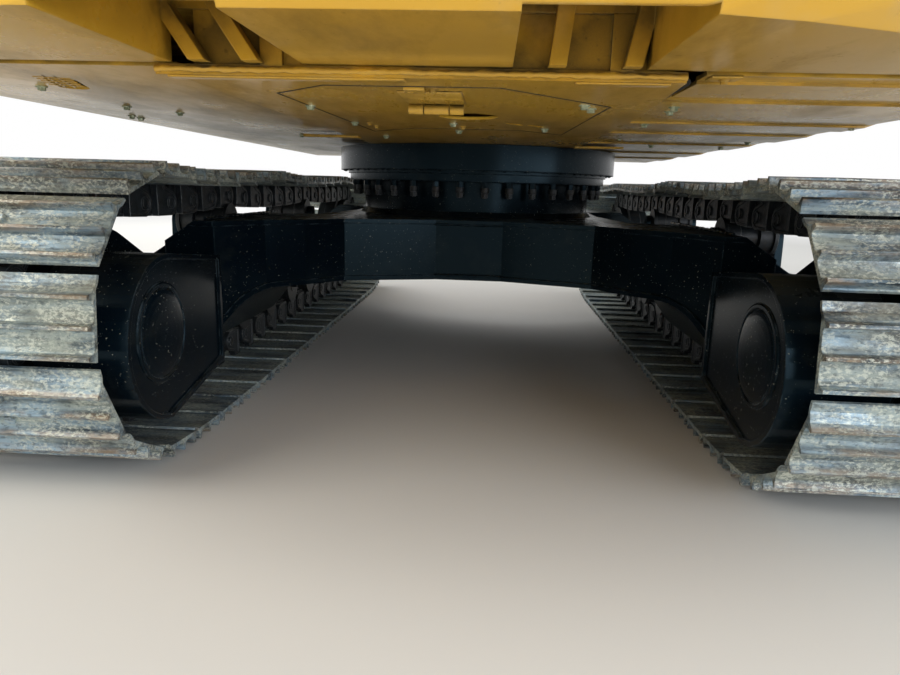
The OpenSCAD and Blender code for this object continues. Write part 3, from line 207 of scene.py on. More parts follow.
# Rolled shoe steel on the ground: blue-grey and streaked, pale dust in its valleys, tan rust on its tips
def groundShoeSteel(name, look):
    made, add = startMaterial(name)
    lift = add("Attribute", attribute_name="lift", out="Fac")
    streak = blotches(add, look["streakMm"], 6, 0.38, 0.60, 1, (1, 0.10, 1), 0.62)
    fine = blotches(add, look["grainMm"], 5, stretch=(1, 0.45, 1), rough=0.7)
    base = add("Mix", streak, look["dark"], look["bright"], data_type="RGBA")
    dull = add("MapRange", fine, 0.3, 0.7, look["roughness"], look["roughness"] + 0.25)
    layers = [
        (look["dust"], 0, 0, blotches(add, 420, 4, 0.45, 0.62, 0.25, (1, 0.4, 1))),
        (look["dust"], 0.4, -0.5, add("MapRange", lift, 0.106, 0.091),
         blotches(add, 70, 6, 0.42, 0.58, look["dustiness"], (1, 0.35, 1), 0.65)),
        (look["rustDark"], 0, 0, add("MapRange", lift, 0.090, 0.080),
         blotches(add, 60, 5, 0.48, 0.66, look["lipRust"], (1, 0.14, 1), 0.6)),
        (look["rust"], 0, 0, add("MapRange", lift, 0.099, 0.110),
         blotches(add, 55, 5, 0.42, 0.58, look["rustiness"], (1, 0.3, 1), 0.65)),
        (look["rustDark"], 0, 0, add("MapRange", fine, 0.30, 0.60, 0.0, look["rustFilm"]),
         blotches(add, 130, 6, 0.50, 0.62, 1, (1, 0.3, 1), 0.65)),
        (look["crustColour"], 0, 0, blotches(add, 7, 4, 0.49, 0.57, look["crust"], (1, 0.6, 1), 0.7),
         blotches(add, 85, 5, 0.36, 0.54)),
        (look["grit"], 0, 0, blotches(add, 10, 4, 0.54, 0.64, 0.55, (1, 0.5, 1), 0.65)),
    ]
    bump = add("Bump", Strength=0.7, Distance=look["pitDepthMm"] / 1000, Height=fine,
               Normal=add("Bevel", 0.002, samples=3))
    return finishMaterial(made, add, **layOver(add, layers, base, dull, look["metallic"]), Normal=bump)


shoeLook = {
    "dark": "#22313B", "bright": "#93ABBA", "dust": "#A2A99C", "rust": "#A48D70", "rustDark": "#574C3E",
    "grit": "#33424A", "crustColour": "#D3D5C4", "streakMm": 34, "grainMm": 8, "dustiness": 0.72,
    "lipRust": 0.55, "rustiness": 0.62, "rustFilm": 0.6, "crust": 0.62, "roughness": 0.28,
    "metallic": 0.45, "pitDepthMm": 1.8,
}


# Forged and cast steel with the shop's black paint, bright where it runs on something
def paintedCastingOf(name, look):
    made, add = startMaterial(name)
    fine = blotches(add, 9, 4, rough=0.7)
    flat = add("NewGeometry", out="Normal")
    soft = add("Bevel", 0.003, samples=3)
    edge = add("VectorMath", soft, flat, operation="DOT_PRODUCT")
    shine = add("MapRange", edge, 0.985, 0.90, 0.0, look["edgeWear"])
    if look["railWear"]:  # the rails' running faces are the lowest below the pins
        lift = add("Attribute", attribute_name="lift", out="Fac")
        shine = add("Math", shine, add("MapRange", lift, -0.0445, -0.0455), operation="MAXIMUM")
    base = add("Mix", blotches(add, 50, 6, 0.36, 0.62, rough=0.62), look["dark"], look["bright"],
               data_type="RGBA")
    dull = add("MapRange", fine, 0.3, 0.7, look["roughness"], look["roughness"] + 0.3)
    layers = [
        (look["dust"], 0, 0, add("MapRange", fine, 0.52, 0.70, 0.0, look["dustiness"])),
        (look["rust"], 0, 0, blotches(add, 90, 5, 0.50, 0.66),
         blotches(add, 22, 4, 0.42, 0.62, look["rustiness"])),
        (look["shineColour"], -0.2, 0.6, shine),
    ]
    bump = add("Bump", Strength=0.6, Distance=look["pitDepthMm"] / 1000, Height=fine, Normal=soft)
    return finishMaterial(made, add, **layOver(add, layers, base, dull, look["metallic"]), Normal=bump)


castingLook = {
    "dark": "#090E12", "bright": "#151C20", "dust": "#55544A", "rust": "#4A3624", "dustiness": 0.30,
    "rustiness": 0.25, "roughness": 0.36, "metallic": 0.1, "pitDepthMm": 0.8, "edgeWear": 0.7,
    "shineColour": "#8C8F8E", "railWear": False,
}
chainLook = {**castingLook, "dark": "#12171B", "bright": "#2A3135", "dustiness": 0.45,
             "rustiness": 0.35, "railWear": True}
burntLook = {**castingLook, "dark": "#2A2522", "bright": "#4A3D33", "rust": "#7A4E2C", "rustiness": 0.8}


# Smooth finish with one kind of mark on it: the mark's blotches also dull it
def markedFinish(name, clean, marked, mark, dull, **sockets):
    made, add = startMaterial(name)
    share = blotches(add, *mark)
    return finishMaterial(made, add, Base_Color=add("Mix", share, clean, marked, data_type="RGBA"),
                          Roughness=add("Math", share, dull, operation="ADD"), **sockets)


# Moulded polypropylene, vinyl and rubber: black with a fine grain
def mouldedPlastic(name, colour, dull):
    made, add = startMaterial(name)
    grain = blotches(add, 6, 2)
    worn = add("Mix", blotches(add, 200, 3, 0.4, 0.8, 0.35), colour, "#4B4840", data_type="RGBA")
    bump = add("Bump", Strength=0.5, Distance=0.0003, Height=grain, Normal=add("Bevel", 0.003, samples=3))
    return finishMaterial(made, add, Base_Color=worn, Normal=bump,
                          Roughness=add("MapRange", grain, 0.3, 0.7, dull, dull + 0.15))


# Woven seat cloth: grey yarns over and under, 4 mm apart so that they show
def seatCloth(name):
    made, add = startMaterial(name)
    place = add("Mapping", add("TexCoord", out="Object"), Scale=(250, 250, 250))
    weave = add("TexChecker", Vector=place, Scale=1.0, out="Fac")
    yarn = add("Mix", weave, "#2C2F33", "#3D4248", data_type="RGBA")
    dusty = add("Mix", blotches(add, 120, 4, 0.5, 0.8, 0.4), yarn, "#6B6455", data_type="RGBA")
    height = add("Math", weave, blotches(add, 3, 3), operation="ADD")
    bump = add("Bump", Strength=0.6, Distance=0.0005, Height=height)
    return finishMaterial(made, add, Base_Color=dusty, Roughness=0.9, Sheen_Weight=0.3, Normal=bump)


# Bucket plate: enamel scoured to bare steel towards the cutting edge and inside
def scouredPlate(name, look):
    made, add = startMaterial(name)
    height = add("SeparateXYZ", add("TexCoord", out="Object"), out="Z")
    ragged = add("Math", blotches(add, 160, 6, stretch=(1, 1, 0.4)), 0.9, height, operation="MULTIPLY_ADD")
    bare = add("MapRange", ragged, look["bareTo"], look["bareFrom"])
    scratch = blotches(add, 12, 4, stretch=(1, 1, 0.12), rough=0.7)
    paint = add("Mix", blotches(add, 300, 5, 0.5, 0.75, 0.4), look["paint"], look["dust"], data_type="RGBA")
    steel = add("Mix", add("MapRange", scratch, 0.35, 0.65), look["steel"], look["steelBright"],
                data_type="RGBA")
    rusty = blotches(add, 80, 5, 0.52, 0.68, 0.7)
    steel = add("Mix", rusty, steel, look["rust"], data_type="RGBA")
    bump = add("Bump", Strength=0.5, Distance=0.0008, Height=scratch, Normal=add("Bevel", 0.004, samples=3))
    return finishMaterial(made, add, Base_Color=add("Mix", bare, paint, steel, data_type="RGBA"),
                          Roughness=add("MapRange", scratch, 0.3, 0.7, 0.30, 0.55),
                          Metallic=add("Math", bare, 0.6, operation="MULTIPLY"), Normal=bump)


bucketLook = {
    "paint": "#DDAE3A", "dust": "#A08A5C", "steel": "#565B5D", "steelBright": "#8F9393",
    "rust": "#7A5534", "bareFrom": 0.62, "bareTo": 0.95,
}

print("stage: materials")
yellowEnamel = enamelledPlate("yellowEnamel", yellowEnamelLook)
blackEnamel = enamelledPlate("blackEnamel", blackEnamelLook)
shoeSteel = groundShoeSteel("shoeSteel", shoeLook)
chainSteel = paintedCastingOf("chainSteel", chainLook)
paintedCasting = paintedCastingOf("paintedCasting", castingLook)
burntSteel = paintedCastingOf("burntSteel", burntLook)
# Zinc plate passivated yellow-green, as on frame bolts: patchy
zinc = markedFinish("zincPlate", "#C3C8AE", "#8E9A7E", (14, 3, 0.35, 0.7), 0.28, Metallic=0.75)
# Ground and hard chromed rod: mirror bright with a thin oil film
rodChrome = markedFinish("rodChrome", "#D4D7DA", "#A9A79E", (120, 3, 0.4, 0.7, 0.12), 0.10, Metallic=1.0)
# Toughened glass with a green tint, wiped; a pane is a thin solid, so its IOR lets rays go nearly straight
safetyGlass = markedFinish("safetyGlass", "#E3EFEA", "#C9C6B8", (300, 4, 0.45, 0.75, 0.08), 0.03,
                           Transmission_Weight=1.0, IOR=1.05)
blackPlastic = mouldedPlastic("blackPlastic", "#17181A", 0.45)
sealRubber = mouldedPlastic("sealRubber", "#101112", 0.6)
cabTrim = mouldedPlastic("cabTrim", "#232527", 0.6)
wovenCloth = seatCloth("wovenCloth")
bucketPlate = scouredPlate("bucketPlate", bucketLook)

slotMaterial = {
    "body_paint": yellowEnamel, "undercarriage_paint": blackEnamel, "roller_steel": paintedCasting,
    "track_steel": shoeSteel, "rod_chrome": rodChrome, "window_glass": safetyGlass,
    "dark_iron": paintedCasting, "cab_trim": cabTrim, "black_plastic": blackPlastic,
}
ownMaterial = {"bucket": bucketPlate, "exhaust": burntSteel}
for part in frame["record"]["subparts"]:
    node = frame["nodes"][part["node"]]
    node.data.materials.clear()
    node.data.materials.append(ownMaterial.get(part["node"], slotMaterial[part["material_slot"]]))


def leaveEdit():
    bpy.ops.object.mode_set(mode="OBJECT")


def pick(piece):
    bpy.ops.object.select_all(action="DESELECT")
    piece.select_set(True)
    bpy.context.view_layer.objects.active = piece


def choose(piece, kind, test):  # goes into edit mode with the corners, edges or faces that pass
    pick(piece)
    mesh = piece.data
    groups = {"VERT": mesh.vertices, "EDGE": mesh.edges, "FACE": mesh.polygons}
    for group in groups.values():
        group.foreach_set("select", [False] * len(group))
    for item in groups[kind]:
        item.select = test(item, mesh)
    bpy.context.tool_settings.mesh_select_mode = [kind == name for name in groups]
    bpy.ops.object.mode_set(mode="EDIT")


def cleanMesh(piece):
    pick(piece)
    bpy.ops.object.mode_set(mode="EDIT")
    bpy.ops.mesh.select_all(action="SELECT")
    bpy.ops.mesh.remove_doubles(threshold=0.00002)
    bpy.ops.mesh.normals_make_consistent(inside=False)
    leaveEdit()
    return piece


def millimetres(points):
    return [tuple(value / 1000 for value in point) for point in points]


# Plate or bar: an n-gon with the outline's corners in metres, extruded along the third axis
def addPrism(name, outline, start, end, plane="XZ"):
    first, second, third = {"XZ": (0, 2, 1), "XY": (0, 1, 2), "YZ": (1, 2, 0)}[plane]
    bpy.ops.object.select_all(action="DESELECT")
    bpy.ops.mesh.primitive_circle_add(vertices=len(outline), radius=1, fill_type="NGON")
    piece = bpy.context.object
    piece.name = name
    for corner, (a, b) in zip(piece.data.vertices, outline):
        corner.co[first], corner.co[second], corner.co[third] = a, b, start
    shift = [0, 0, 0]
    shift[third] = end - start
    bpy.ops.object.mode_set(mode="EDIT")
    bpy.ops.mesh.select_all(action="SELECT")
    bpy.ops.mesh.extrude_region_move(TRANSFORM_OT_translate={"value": shift})
    bpy.ops.mesh.select_all(action="SELECT")
    bpy.ops.mesh.normals_make_consistent(inside=False)
    leaveEdit()
    return piece


def addBlock(name, low, high, widthMm=3, segments=2):  # a block between two corners, its edges eased
    piece = addPrism(name, [(low[0], low[2]), (high[0], low[2]), (high[0], high[2]), (low[0], high[2])],
                     low[1], high[1])
    return easeEdges(piece, widthMm, segments)


def addBox(name, corners, easeMm):  # the same with its corners about the swing axis
    return addBlock(name, *(spot(*corner) for corner in corners), easeMm)


def easeEdges(piece, widthMm, segments=2, angle=35):
    pick(piece)
    edge = piece.modifiers.new("edge", "BEVEL")
    edge.width = widthMm / 1000
    edge.segments = segments
    edge.limit_method = "ANGLE"
    edge.angle_limit = math.radians(angle)
    bpy.ops.object.modifier_apply(modifier=edge.name)
    return piece


def facing(direction):
    return Vector((0, 0, 1)).rotation_difference(Vector(direction)).to_matrix().to_4x4()


# Turned piece: a cylinder along a direction, its end faces stepped in and its edges eased
def addTurned(name, base, direction, radius, length, sides=24, stepMm=0, easeMm=2):
    bpy.ops.object.select_all(action="DESELECT")
    bpy.ops.mesh.primitive_cylinder_add(vertices=sides, radius=radius, depth=length,
                                        location=(0, 0, length / 2))
    piece = bpy.context.object
    piece.name = name
    bpy.ops.object.transform_apply(location=True, rotation=True, scale=True)
    if stepMm:
        choose(piece, "FACE", lambda face, mesh: face.center.z > length - 1e-5)
        bpy.ops.mesh.inset(thickness=radius * 0.35, depth=0)
        bpy.ops.mesh.extrude_region_move(TRANSFORM_OT_translate={"value": (0, 0, stepMm / 1000)})
        leaveEdit()
    if easeMm:
        easeEdges(piece, easeMm, 2, 50)
    piece.data.transform(Matrix.Translation(base) @ facing(direction))
    return piece


def joinPieces(name, pieces):
    bpy.ops.object.select_all(action="DESELECT")
    for piece in pieces:
        piece.select_set(True)
    bpy.context.view_layer.objects.active = pieces[0]
    if len(pieces) > 1:
        bpy.ops.object.join()
    made = bpy.context.view_layer.objects.active
    made.name = name
    return made


def copyMany(name, bases, places):  # each place gets its own copy, taking the bases in turn
    copies = []
    for i, place in enumerate(places):
        twin = bpy.data.objects.new(name, bases[i % len(bases)].data.copy())
        twin.data.transform(place)
        bpy.context.scene.collection.objects.link(twin)
        copies.append(twin)
    for base in bases:
        bpy.data.objects.remove(base)
    return joinPieces(name, copies)


def settle(piece, body, material=None, angle=35, replaced=()):
    if material is not None:
        piece.data.materials.clear()
        piece.data.materials.append(material)
    pick(piece)
    if angle:
        bpy.ops.object.shade_smooth_by_angle(angle=math.radians(angle))
    bpy.ops.object.select_all(action="DESELECT")
    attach(piece, body)
    if replaced:
        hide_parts(*replaced)
    return piece


# Round line through points: pipe, seal or weld bead; a bead's thickness varies along it
def addLine(name, points, radius, rounds=1, closed=False, uneven=0.0):
    curve = bpy.data.curves.new(name, "CURVE")
    curve.dimensions = "3D"
    curve.bevel_depth = radius
    curve.bevel_resolution = rounds
    curve.use_fill_caps = not closed
    spline = curve.splines.new("POLY")
    spline.points.add(len(points) - 1)
    for i, point in enumerate(points):
        spline.points[i].co = (*point, 1.0)
        spline.points[i].radius = 1.0 + uneven * random.uniform(-1, 1)
    spline.use_cyclic_u = closed
    piece = bpy.data.objects.new(name, curve)
    bpy.context.scene.collection.objects.link(piece)
    pick(piece)
    bpy.ops.object.convert(target="MESH")
    return cleanMesh(bpy.context.object)


def roundCorners(points, reach, steps=5):  # each corner becomes a short curve
    points = [Vector(point) for point in points]
    path = [points[0]]
    for before, corner, after in zip(points, points[1:], points[2:]):
        start = corner + (before - corner).normalized() * min(reach, (before - corner).length * 0.45)
        end = corner + (after - corner).normalized() * min(reach, (after - corner).length * 0.45)
        for i in range(steps + 1):
            u = i / steps
            path.append(start * (1 - u) ** 2 + corner * 2 * u * (1 - u) + end * u ** 2)
    return path + [points[-1]]


def stepsAlong(points, step):
    path = []
    for start, end in zip(points, points[1:]):
        start, end = Vector(start), Vector(end)
        count = max(1, round((end - start).length / step))
        path += [start.lerp(end, i / count) for i in range(count)]
    return path + [Vector(points[-1])]


def addBead(points, radiusMm, stepMm=9):
    path = stepsAlong(points, stepMm / 1000)
    wander = radiusMm / 9000  # a hand-laid bead strays by a ninth of its radius
    path = [point + Vector([random.uniform(-wander, wander) for _ in range(3)]) for point in path]
    return addLine("bead", path, radiusMm / 1000, 1, uneven=0.22)


def arcPoints(middle, radius, start, end, count):
    return [(middle[0] + radius * math.cos(math.radians(start + (end - start) * i / count)),
             middle[1] + radius * math.sin(math.radians(start + (end - start) * i / count)))
            for i in range(count + 1)]


# Hexagon bolt head, its sizes as shares of its radius, standing up from z = 0 on its washer
boltShape = {"height": 0.72, "rim": 0.14, "crown": 0.10, "washer": 1.45, "washerMm": 2.5}


def addBoltHead(radiusMm, washer=True):
    radius = radiusMm / 1000
    rise = boltShape["washerMm"] / 1000 if washer else 0.0
    height = radius * boltShape["height"]
    head = addTurned("bolt", (0, 0, rise), (0, 0, 1), radius, height, sides=6, easeMm=0)
    choose(head, "FACE", lambda face, mesh: face.center.z > rise + height * 0.9)
    bpy.ops.mesh.inset(thickness=radius * boltShape["rim"], depth=radius * boltShape["crown"])
    leaveEdit()
    if not washer:
        return head
    disc = addTurned("washer", (0, 0, 0), (0, 0, 1), radius * boltShape["washer"], rise, sides=16, easeMm=0)
    return joinPieces("bolt", [head, disc])


def ringOf(radius, count, shift=0.5):  # even places round a circle, in pairs
    turns = [2 * math.pi * (i + shift) / count for i in range(count)]
    return [(radius * math.cos(turn), radius * math.sin(turn)) for turn in turns]


def boltPlaces(points, direction):
    return [Matrix.Translation(point) @ facing(direction) @ Matrix.Rotation(random.uniform(0, 1.05), 4, "Z")
            for point in points]


def addBolts(name, points, direction, radiusMm, body, material, washer=True):
    bolts = copyMany(name, [addBoltHead(radiusMm, washer)], boltPlaces(points, direction))
    return settle(bolts, body, material, 30)


print("stage: tracks")
track = {
    "links": 49, "pitch": 0.190, "teeth": 21, "drop": 0.018, "slopeEnd": 0.430, "sag": 0.020,
    "halfWidth": 0.3485, "cuts": 7, "variants": 4, "chipMm": 1.5, "chipFromMm": 115, "boltMm": 15,
    "boltAlongMm": (52, 128), "boltAcrossMm": 66, "boltOutMm": 90.5,
    # Shoe section over one link: along it from its pin, and out from the pins, in mm
    "shoe": [(6, 79), (6, 88), (9, 92), (11, 115.5), (20, 117.1), (27, 97), (38, 91), (74, 91), (82, 95),
             (86, 116.5), (95, 117.1), (101, 97), (112, 91), (148, 91), (156, 95), (160, 116.5), (169, 117.1),
             (175, 97), (182, 90), (188, 86), (194, 79.5), (204, 76.5), (217, 73.8), (216, 65), (198, 69),
             (187, 75), (180, 79)],
    "rearHalf": [*arcPoints((0, 0), 44, 95, 250, 7), (-2, -46), (105, -46), (105, 79), (48, 79), (40, 58)],
    "frontHalf": [(85, -46), (192, -46), *arcPoints((190, 0), 44, -70, 88, 7), (151, 58), (142, 79),
                  (85, 79)],
    "rimMm": 9, "slopeMm": 3, "pocketMm": 5, "innerMm": (46, 70), "outerMm": (70, 94), "bushMm": 30,
    "pinMm": 22, "pinHalfMm": 97, "pinRimMm": 6, "pinPitMm": 4,
}


def middleOf(node):
    low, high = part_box(node)
    return (low + high) / 2


sprocketAt = middleOf("sprockets")
idlerAt = middleOf("idler_wheels")
trackAcross = middleOf("track_left").y
carrierLow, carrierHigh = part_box("carrier_rollers")
carrierHalf = (carrierHigh.z - carrierLow.z) / 2
carriersAt = [carrierLow.x + carrierHalf, carrierHigh.x - carrierHalf]
trackSpan = idlerAt.x - sprocketAt.x
pitchRadius = track["pitch"] / (2 * math.sin(2 * math.pi / track["teeth"]))


def loopAt(s):  # place on the pin line at a distance along it, from the sprocket's top forward
    bend = math.pi * pitchRadius
    s %= 2 * (trackSpan + bend)
    if s < trackSpan:  # the upper run hangs a little between the wheels and the carrier rollers
        held = [0, *(x - sprocketAt.x for x in carriersAt), trackSpan]
        start = max(x for x in held if x <= s)
        end = min(x for x in held if x > s)
        hang = track["sag"] * 4 * (s - start) * (end - s) / (end - start) ** 2
        return Vector((sprocketAt.x + s, 0, sprocketAt.z + pitchRadius - hang))
    if s < trackSpan + bend:
        turn = (s - trackSpan) / pitchRadius
        return Vector((idlerAt.x + pitchRadius * math.sin(turn), 0,
                       sprocketAt.z + pitchRadius * math.cos(turn)))
    if s < 2 * trackSpan + bend:
        t = s - trackSpan - bend
        slope = min(1, min(t, trackSpan - t) / (track["slopeEnd"] - track["pitch"]))
        return Vector((idlerAt.x - t, 0, sprocketAt.z - pitchRadius - track["drop"] * slope))
    turn = (s - 2 * trackSpan - bend) / pitchRadius
    return Vector((sprocketAt.x - pitchRadius * math.sin(turn), 0,
                   sprocketAt.z - pitchRadius * math.cos(turn)))


def linkPlace(k, across):
    pin = loopAt(k * track["pitch"])
    along = (loopAt((k + 1) % track["links"] * track["pitch"]) - pin).normalized()
    out = Vector((-along.z, 0, along.x))
    turn = Matrix((along, (0, 1, 0), out)).transposed().to_4x4()
    return Matrix.Translation((pin.x, across, pin.z)) @ turn


def writeLift(piece):  # how far out from the pins each corner lies, for the wear
    lift = piece.data.attributes.new("lift", "FLOAT", "POINT")
    lift.data.foreach_set("value", [corner.co.z for corner in piece.data.vertices])


def isAcross(edge, mesh):
    a, b = (mesh.vertices[i].co for i in edge.vertices)
    return abs(a.y - b.y) > 0.5


def addShoe(seed):
    shoe = addPrism("shoe", millimetres(track["shoe"]), -track["halfWidth"], track["halfWidth"])
    choose(shoe, "EDGE", isAcross)
    bpy.ops.mesh.subdivide(number_cuts=track["cuts"])
    leaveEdit()
    choose(shoe, "VERT", lambda corner, mesh: corner.co.z > track["chipFromMm"] / 1000)
    bpy.ops.transform.vertex_random(offset=track["chipMm"] / 1000, normal=0.2, seed=seed)
    leaveEdit()
    heads = [(x, side * track["boltAcrossMm"], track["boltOutMm"]) for x in track["boltAlongMm"]
             for side in (-1, 1)]
    bolts = copyMany("shoeBolts", [addBoltHead(track["boltMm"], False)],
                     boltPlaces(millimetres(heads), (0, 0, 1)))
    shoe = joinPieces("shoe", [shoe, bolts])
    writeLift(shoe)
    return shoe


def addLink():
    parts = []
    for side in (-1, 1):
        for outline, across in (("rearHalf", "innerMm"), ("frontHalf", "outerMm")):
            start, end = sorted(side * value / 1000 for value in track[across])
            plate = addPrism("link", millimetres(track[outline]), start, end)
            choose(plate, "FACE", lambda face, mesh: abs(face.normal.y) > 0.9)  # the forging's pockets
            bpy.ops.mesh.inset(thickness=track["rimMm"] / 1000, depth=0, use_individual=True)
            bpy.ops.mesh.inset(thickness=track["slopeMm"] / 1000, depth=-track["pocketMm"] / 1000,
                               use_individual=True)
            leaveEdit()
            parts.append(plate)
    inner = track["innerMm"][0] / 1000
    parts.append(addTurned("bush", (0, -inner, 0), (0, 1, 0), track["bushMm"] / 1000, 2 * inner, 14, 0, 0))
    half = track["pinHalfMm"] / 1000
    pin = addTurned("pin", (0, -half, 0), (0, 1, 0), track["pinMm"] / 1000, 2 * half, 12, 0, 0)
    choose(pin, "FACE", lambda face, mesh: abs(face.center.y) > half - 0.001)
    bpy.ops.mesh.inset(thickness=track["pinRimMm"] / 1000, depth=-track["pinPitMm"] / 1000,
                       use_individual=True)
    leaveEdit()
    link = joinPieces("link", [*parts, pin])
    writeLift(link)
    return link


def addTrack(name, across):
    places = [linkPlace(k, across) for k in range(track["links"])]
    shoes = copyMany("shoes_" + name, [addShoe(7014 + i) for i in range(track["variants"])], places)
    settle(shoes, "undercarriage", shoeSteel, 28, ("track_" + name,))
    chain = copyMany("chain_" + name, [addLink()], places)
    settle(chain, "undercarriage", chainSteel, 28)


addTrack("left", trackAcross)
addTrack("right", -trackAcross)

print("stage: undercarriage bolts")
wheels = {"hubRadius": 0.165, "hubOut": 0.180, "hubBolts": 14, "rollers": 8, "firstRoller": 0.430,
          "rollerOut": 0.1483, "boltMm": 12, "boltGap": 0.022, "boltUp": 0.012}


def addWheelBolts():
    points = []
    step = (trackSpan - 2 * wheels["firstRoller"]) / (wheels["rollers"] - 1)
    rollerZ = middleOf("bottom_rollers").z
    for i in range(wheels["rollers"]):
        x = sprocketAt.x + wheels["firstRoller"] + i * step
        points += [Vector((x + side * wheels["boltGap"], wheels["rollerOut"], rollerZ + wheels["boltUp"]))
                   for side in (-1, 1)]
    points += [Vector((sprocketAt.x + x, wheels["hubOut"], sprocketAt.z + z))
               for x, z in ringOf(wheels["hubRadius"], wheels["hubBolts"], 0)]
    both = []
    for side in (-1, 1):
        spots = [Vector((p.x, side * (trackAcross + p.y), p.z)) for p in points]
        both.append(copyMany("heads", [addBoltHead(wheels["boltMm"])], boltPlaces(spots, (0, side, 0))))
    settle(joinPieces("wheelBolts", both), "undercarriage", paintedCasting, 30)


addWheelBolts()

# Screws up through the slewing ring, each with its long sleeve, and the small ones in the band's lip
ring = {"radius": 0.699, "count": 44, "boltMm": 7, "z": 0.9185, "sleeves": 36, "sleeveAt": 0.640,
        "sleeveTop": 0.845, "sleeveMm": 19, "sleeveLongMm": 24, "headMm": 17, "headLongMm": 20}


def addRingSleeves():
    top, long = ring["sleeveTop"], ring["sleeveLongMm"] / 1000
    sleeve = addTurned("sleeve", (0, 0, 0), (0, 0, -1), ring["sleeveMm"] / 1000, long, 16, 0, 1)
    head = addTurned("head", (0, 0, -long), (0, 0, -1), ring["headMm"] / 1000, ring["headLongMm"] / 1000,
                     6, 3, 0)
    places = [Matrix.Translation(spot(x, y, top)) for x, y in ringOf(ring["sleeveAt"], ring["sleeves"])]
    sleeves = copyMany("ringSleeves", [joinPieces("sleeve", [sleeve, head])], places)
    settle(sleeves, "undercarriage", paintedCasting, 30)


addRingSleeves()
addBolts("ringScrews", [spot(x, y, ring["z"]) for x, y in ringOf(ring["radius"], ring["count"])],
         (0, 0, -1), ring["boltMm"], "upper", blackEnamel, False)

print("stage: underside")
underside = {
    "plateZ": 1.030, "zincMm": 9, "paintedMm": 7,
    # Zinc bolts on the plate, on the left pan, and on the right pan with its height there; painted ones
    "plate": [(-2.035, 0.359), (-1.611, 0.335), (-1.062, 0.325), (-1.639, 0.033), (-1.382, 0.028),
              (-1.520, -0.248), (-2.150, -0.290), (-2.090, -0.312)],
    "leftPan": [(-2.153, 0.959), (-1.748, 0.976), (-1.465, 1.112), (-1.398, 1.117), (-1.603, 0.885),
                (-0.738, 0.743)],
    "leftZ": 1.048,
    "rightPan": [(-2.048, -0.511, 1.042), (-1.964, -0.522, 1.042), (-1.614, -0.534, 1.042),
                 (-0.985, -0.573, 1.048), (-0.677, -0.764, 1.042), (-1.598, -1.139, 1.048),
                 (-0.900, -1.090, 1.048), (-0.640, -1.070, 1.042)],
    "painted": [(-1.611, 0.289, 1.030), (-1.508, 0.285, 1.030), (-1.542, 0.008, 1.030),
                (-2.361, 0.030, 1.030), (-2.361, 0.075, 1.030), (-2.440, -0.498, 1.044)],
    # Plates under the frame, its pans and the hatch: corners, top, thickness and ease in mm
    "flats": [
        ("leaf", (-2.335, -0.024), (-2.150, 0.105), 1.030, 4, 1.5),
        ("latch", (-2.392, 0.045), (-2.345, 0.085), 1.030, 7, 1.5),
        ("pad", (-2.489, 0.070), (-2.462, 0.500), 1.031, 5, 2),
        ("pad", (-2.489, -0.395), (-2.466, -0.230), 1.031, 5, 2),
        ("boss", (-2.462, -0.525), (-2.418, -0.470), 1.049, 5, 2),
        ("cover", (-1.02, 0.44), (-0.95, 0.66), 1.034, 10, 2),
        ("cover", (-0.67, -0.65), (-0.60, -0.44), 1.034, 10, 2),
    ],
    # Barrel of the hatch's hinge: its line, radius, and where its knuckles meet
    "barrel": (-2.138, 1.0165), "barrelMm": 12, "knuckles": (-0.022, 0.012, 0.070, 0.106),
    "knuckleGap": 0.001,
    # Line round the hatch, in dark rubber: painted shadow of the gap round it
    "seam": [(-2.260, 0.370), (-2.390, 0.240), (-2.395, -0.100), (-2.130, -0.350), (-1.300, -0.320),
             (-1.455, -0.170), (-1.455, 0.170), (-1.290, 0.330)],
    "seamMm": 2.2, "seamUp": 0.0006, "gapMm": 6.5,
    # Guard over the drain slot: the slot's middle, turn, half sizes and bars
    "slot": (-2.230, 0.866, 20), "slotHalf": (0.095, 0.032), "bars": (5, 2), "barMm": 5,
    "barOver": 0.004,
    # Strip along the frame's edge by the right pan, in dark rubber: painted shadow of the gap there
    "gap": [(-2.440, -0.4345, 1.0395), (-1.000, -0.4655, 1.0395), (0.890, -0.4655, 1.0395)],
}

bolts = ([spot(x, y, underside["plateZ"]) for x, y in underside["plate"]]
         + [spot(x, y, underside["leftZ"]) for x, y in underside["leftPan"]]
         + [spot(*place) for place in underside["rightPan"]])
addBolts("undersideBolts", bolts, (0, 0, -1), underside["zincMm"], "upper", zinc)
addBolts("paintedBolts", [spot(*place) for place in underside["painted"]], (0, 0, -1),
         underside["paintedMm"], "upper", yellowEnamel)


def addUndersidePlates():
    parts = []
    for name, (x0, y0), (x1, y1), top, thickMm, easeMm in underside["flats"]:
        parts.append(addBlock(name, spot(x0, y0, top - thickMm / 1000), spot(x1, y1, top), easeMm))
    x, z = underside["barrel"]
    gap = underside["knuckleGap"]
    for y0, y1 in zip(underside["knuckles"], underside["knuckles"][1:]):
        parts.append(addTurned("knuckle", spot(x, y0 + gap, z), (0, 1, 0), underside["barrelMm"] / 1000,
                               y1 - y0 - 2 * gap, 18, 0, 1.5))
    settle(joinPieces("undersidePlates", parts), "upper", yellowEnamel)


def addSlotGuard():
    x, y, turn = underside["slot"]
    halves, bar, over = underside["slotHalf"], underside["barMm"] / 2000, underside["barOver"]
    bars = []
    for axis, count in enumerate(underside["bars"]):  # the second set lies 1 mm higher on the first
        low, high = [0, 0, 0.001 * axis - 0.001], [0, 0, 0.001 * axis + 0.003]
        low[1 - axis], high[1 - axis] = -halves[1 - axis] - over, halves[1 - axis] + over
        for i in range(count):
            middle = halves[axis] * (2 * (i + 1) / (count + 1) - 1)
            low[axis], high[axis] = middle - bar, middle + bar
            bars.append(addBlock("bar", low, high, 0.6, 1))
    guard = joinPieces("slotGuard", bars)
    guard.data.transform(Matrix.Translation(spot(x, y, underside["leftZ"]))
                         @ Matrix.Rotation(math.radians(turn), 4, "Z"))
    settle(guard, "upper", yellowEnamel)


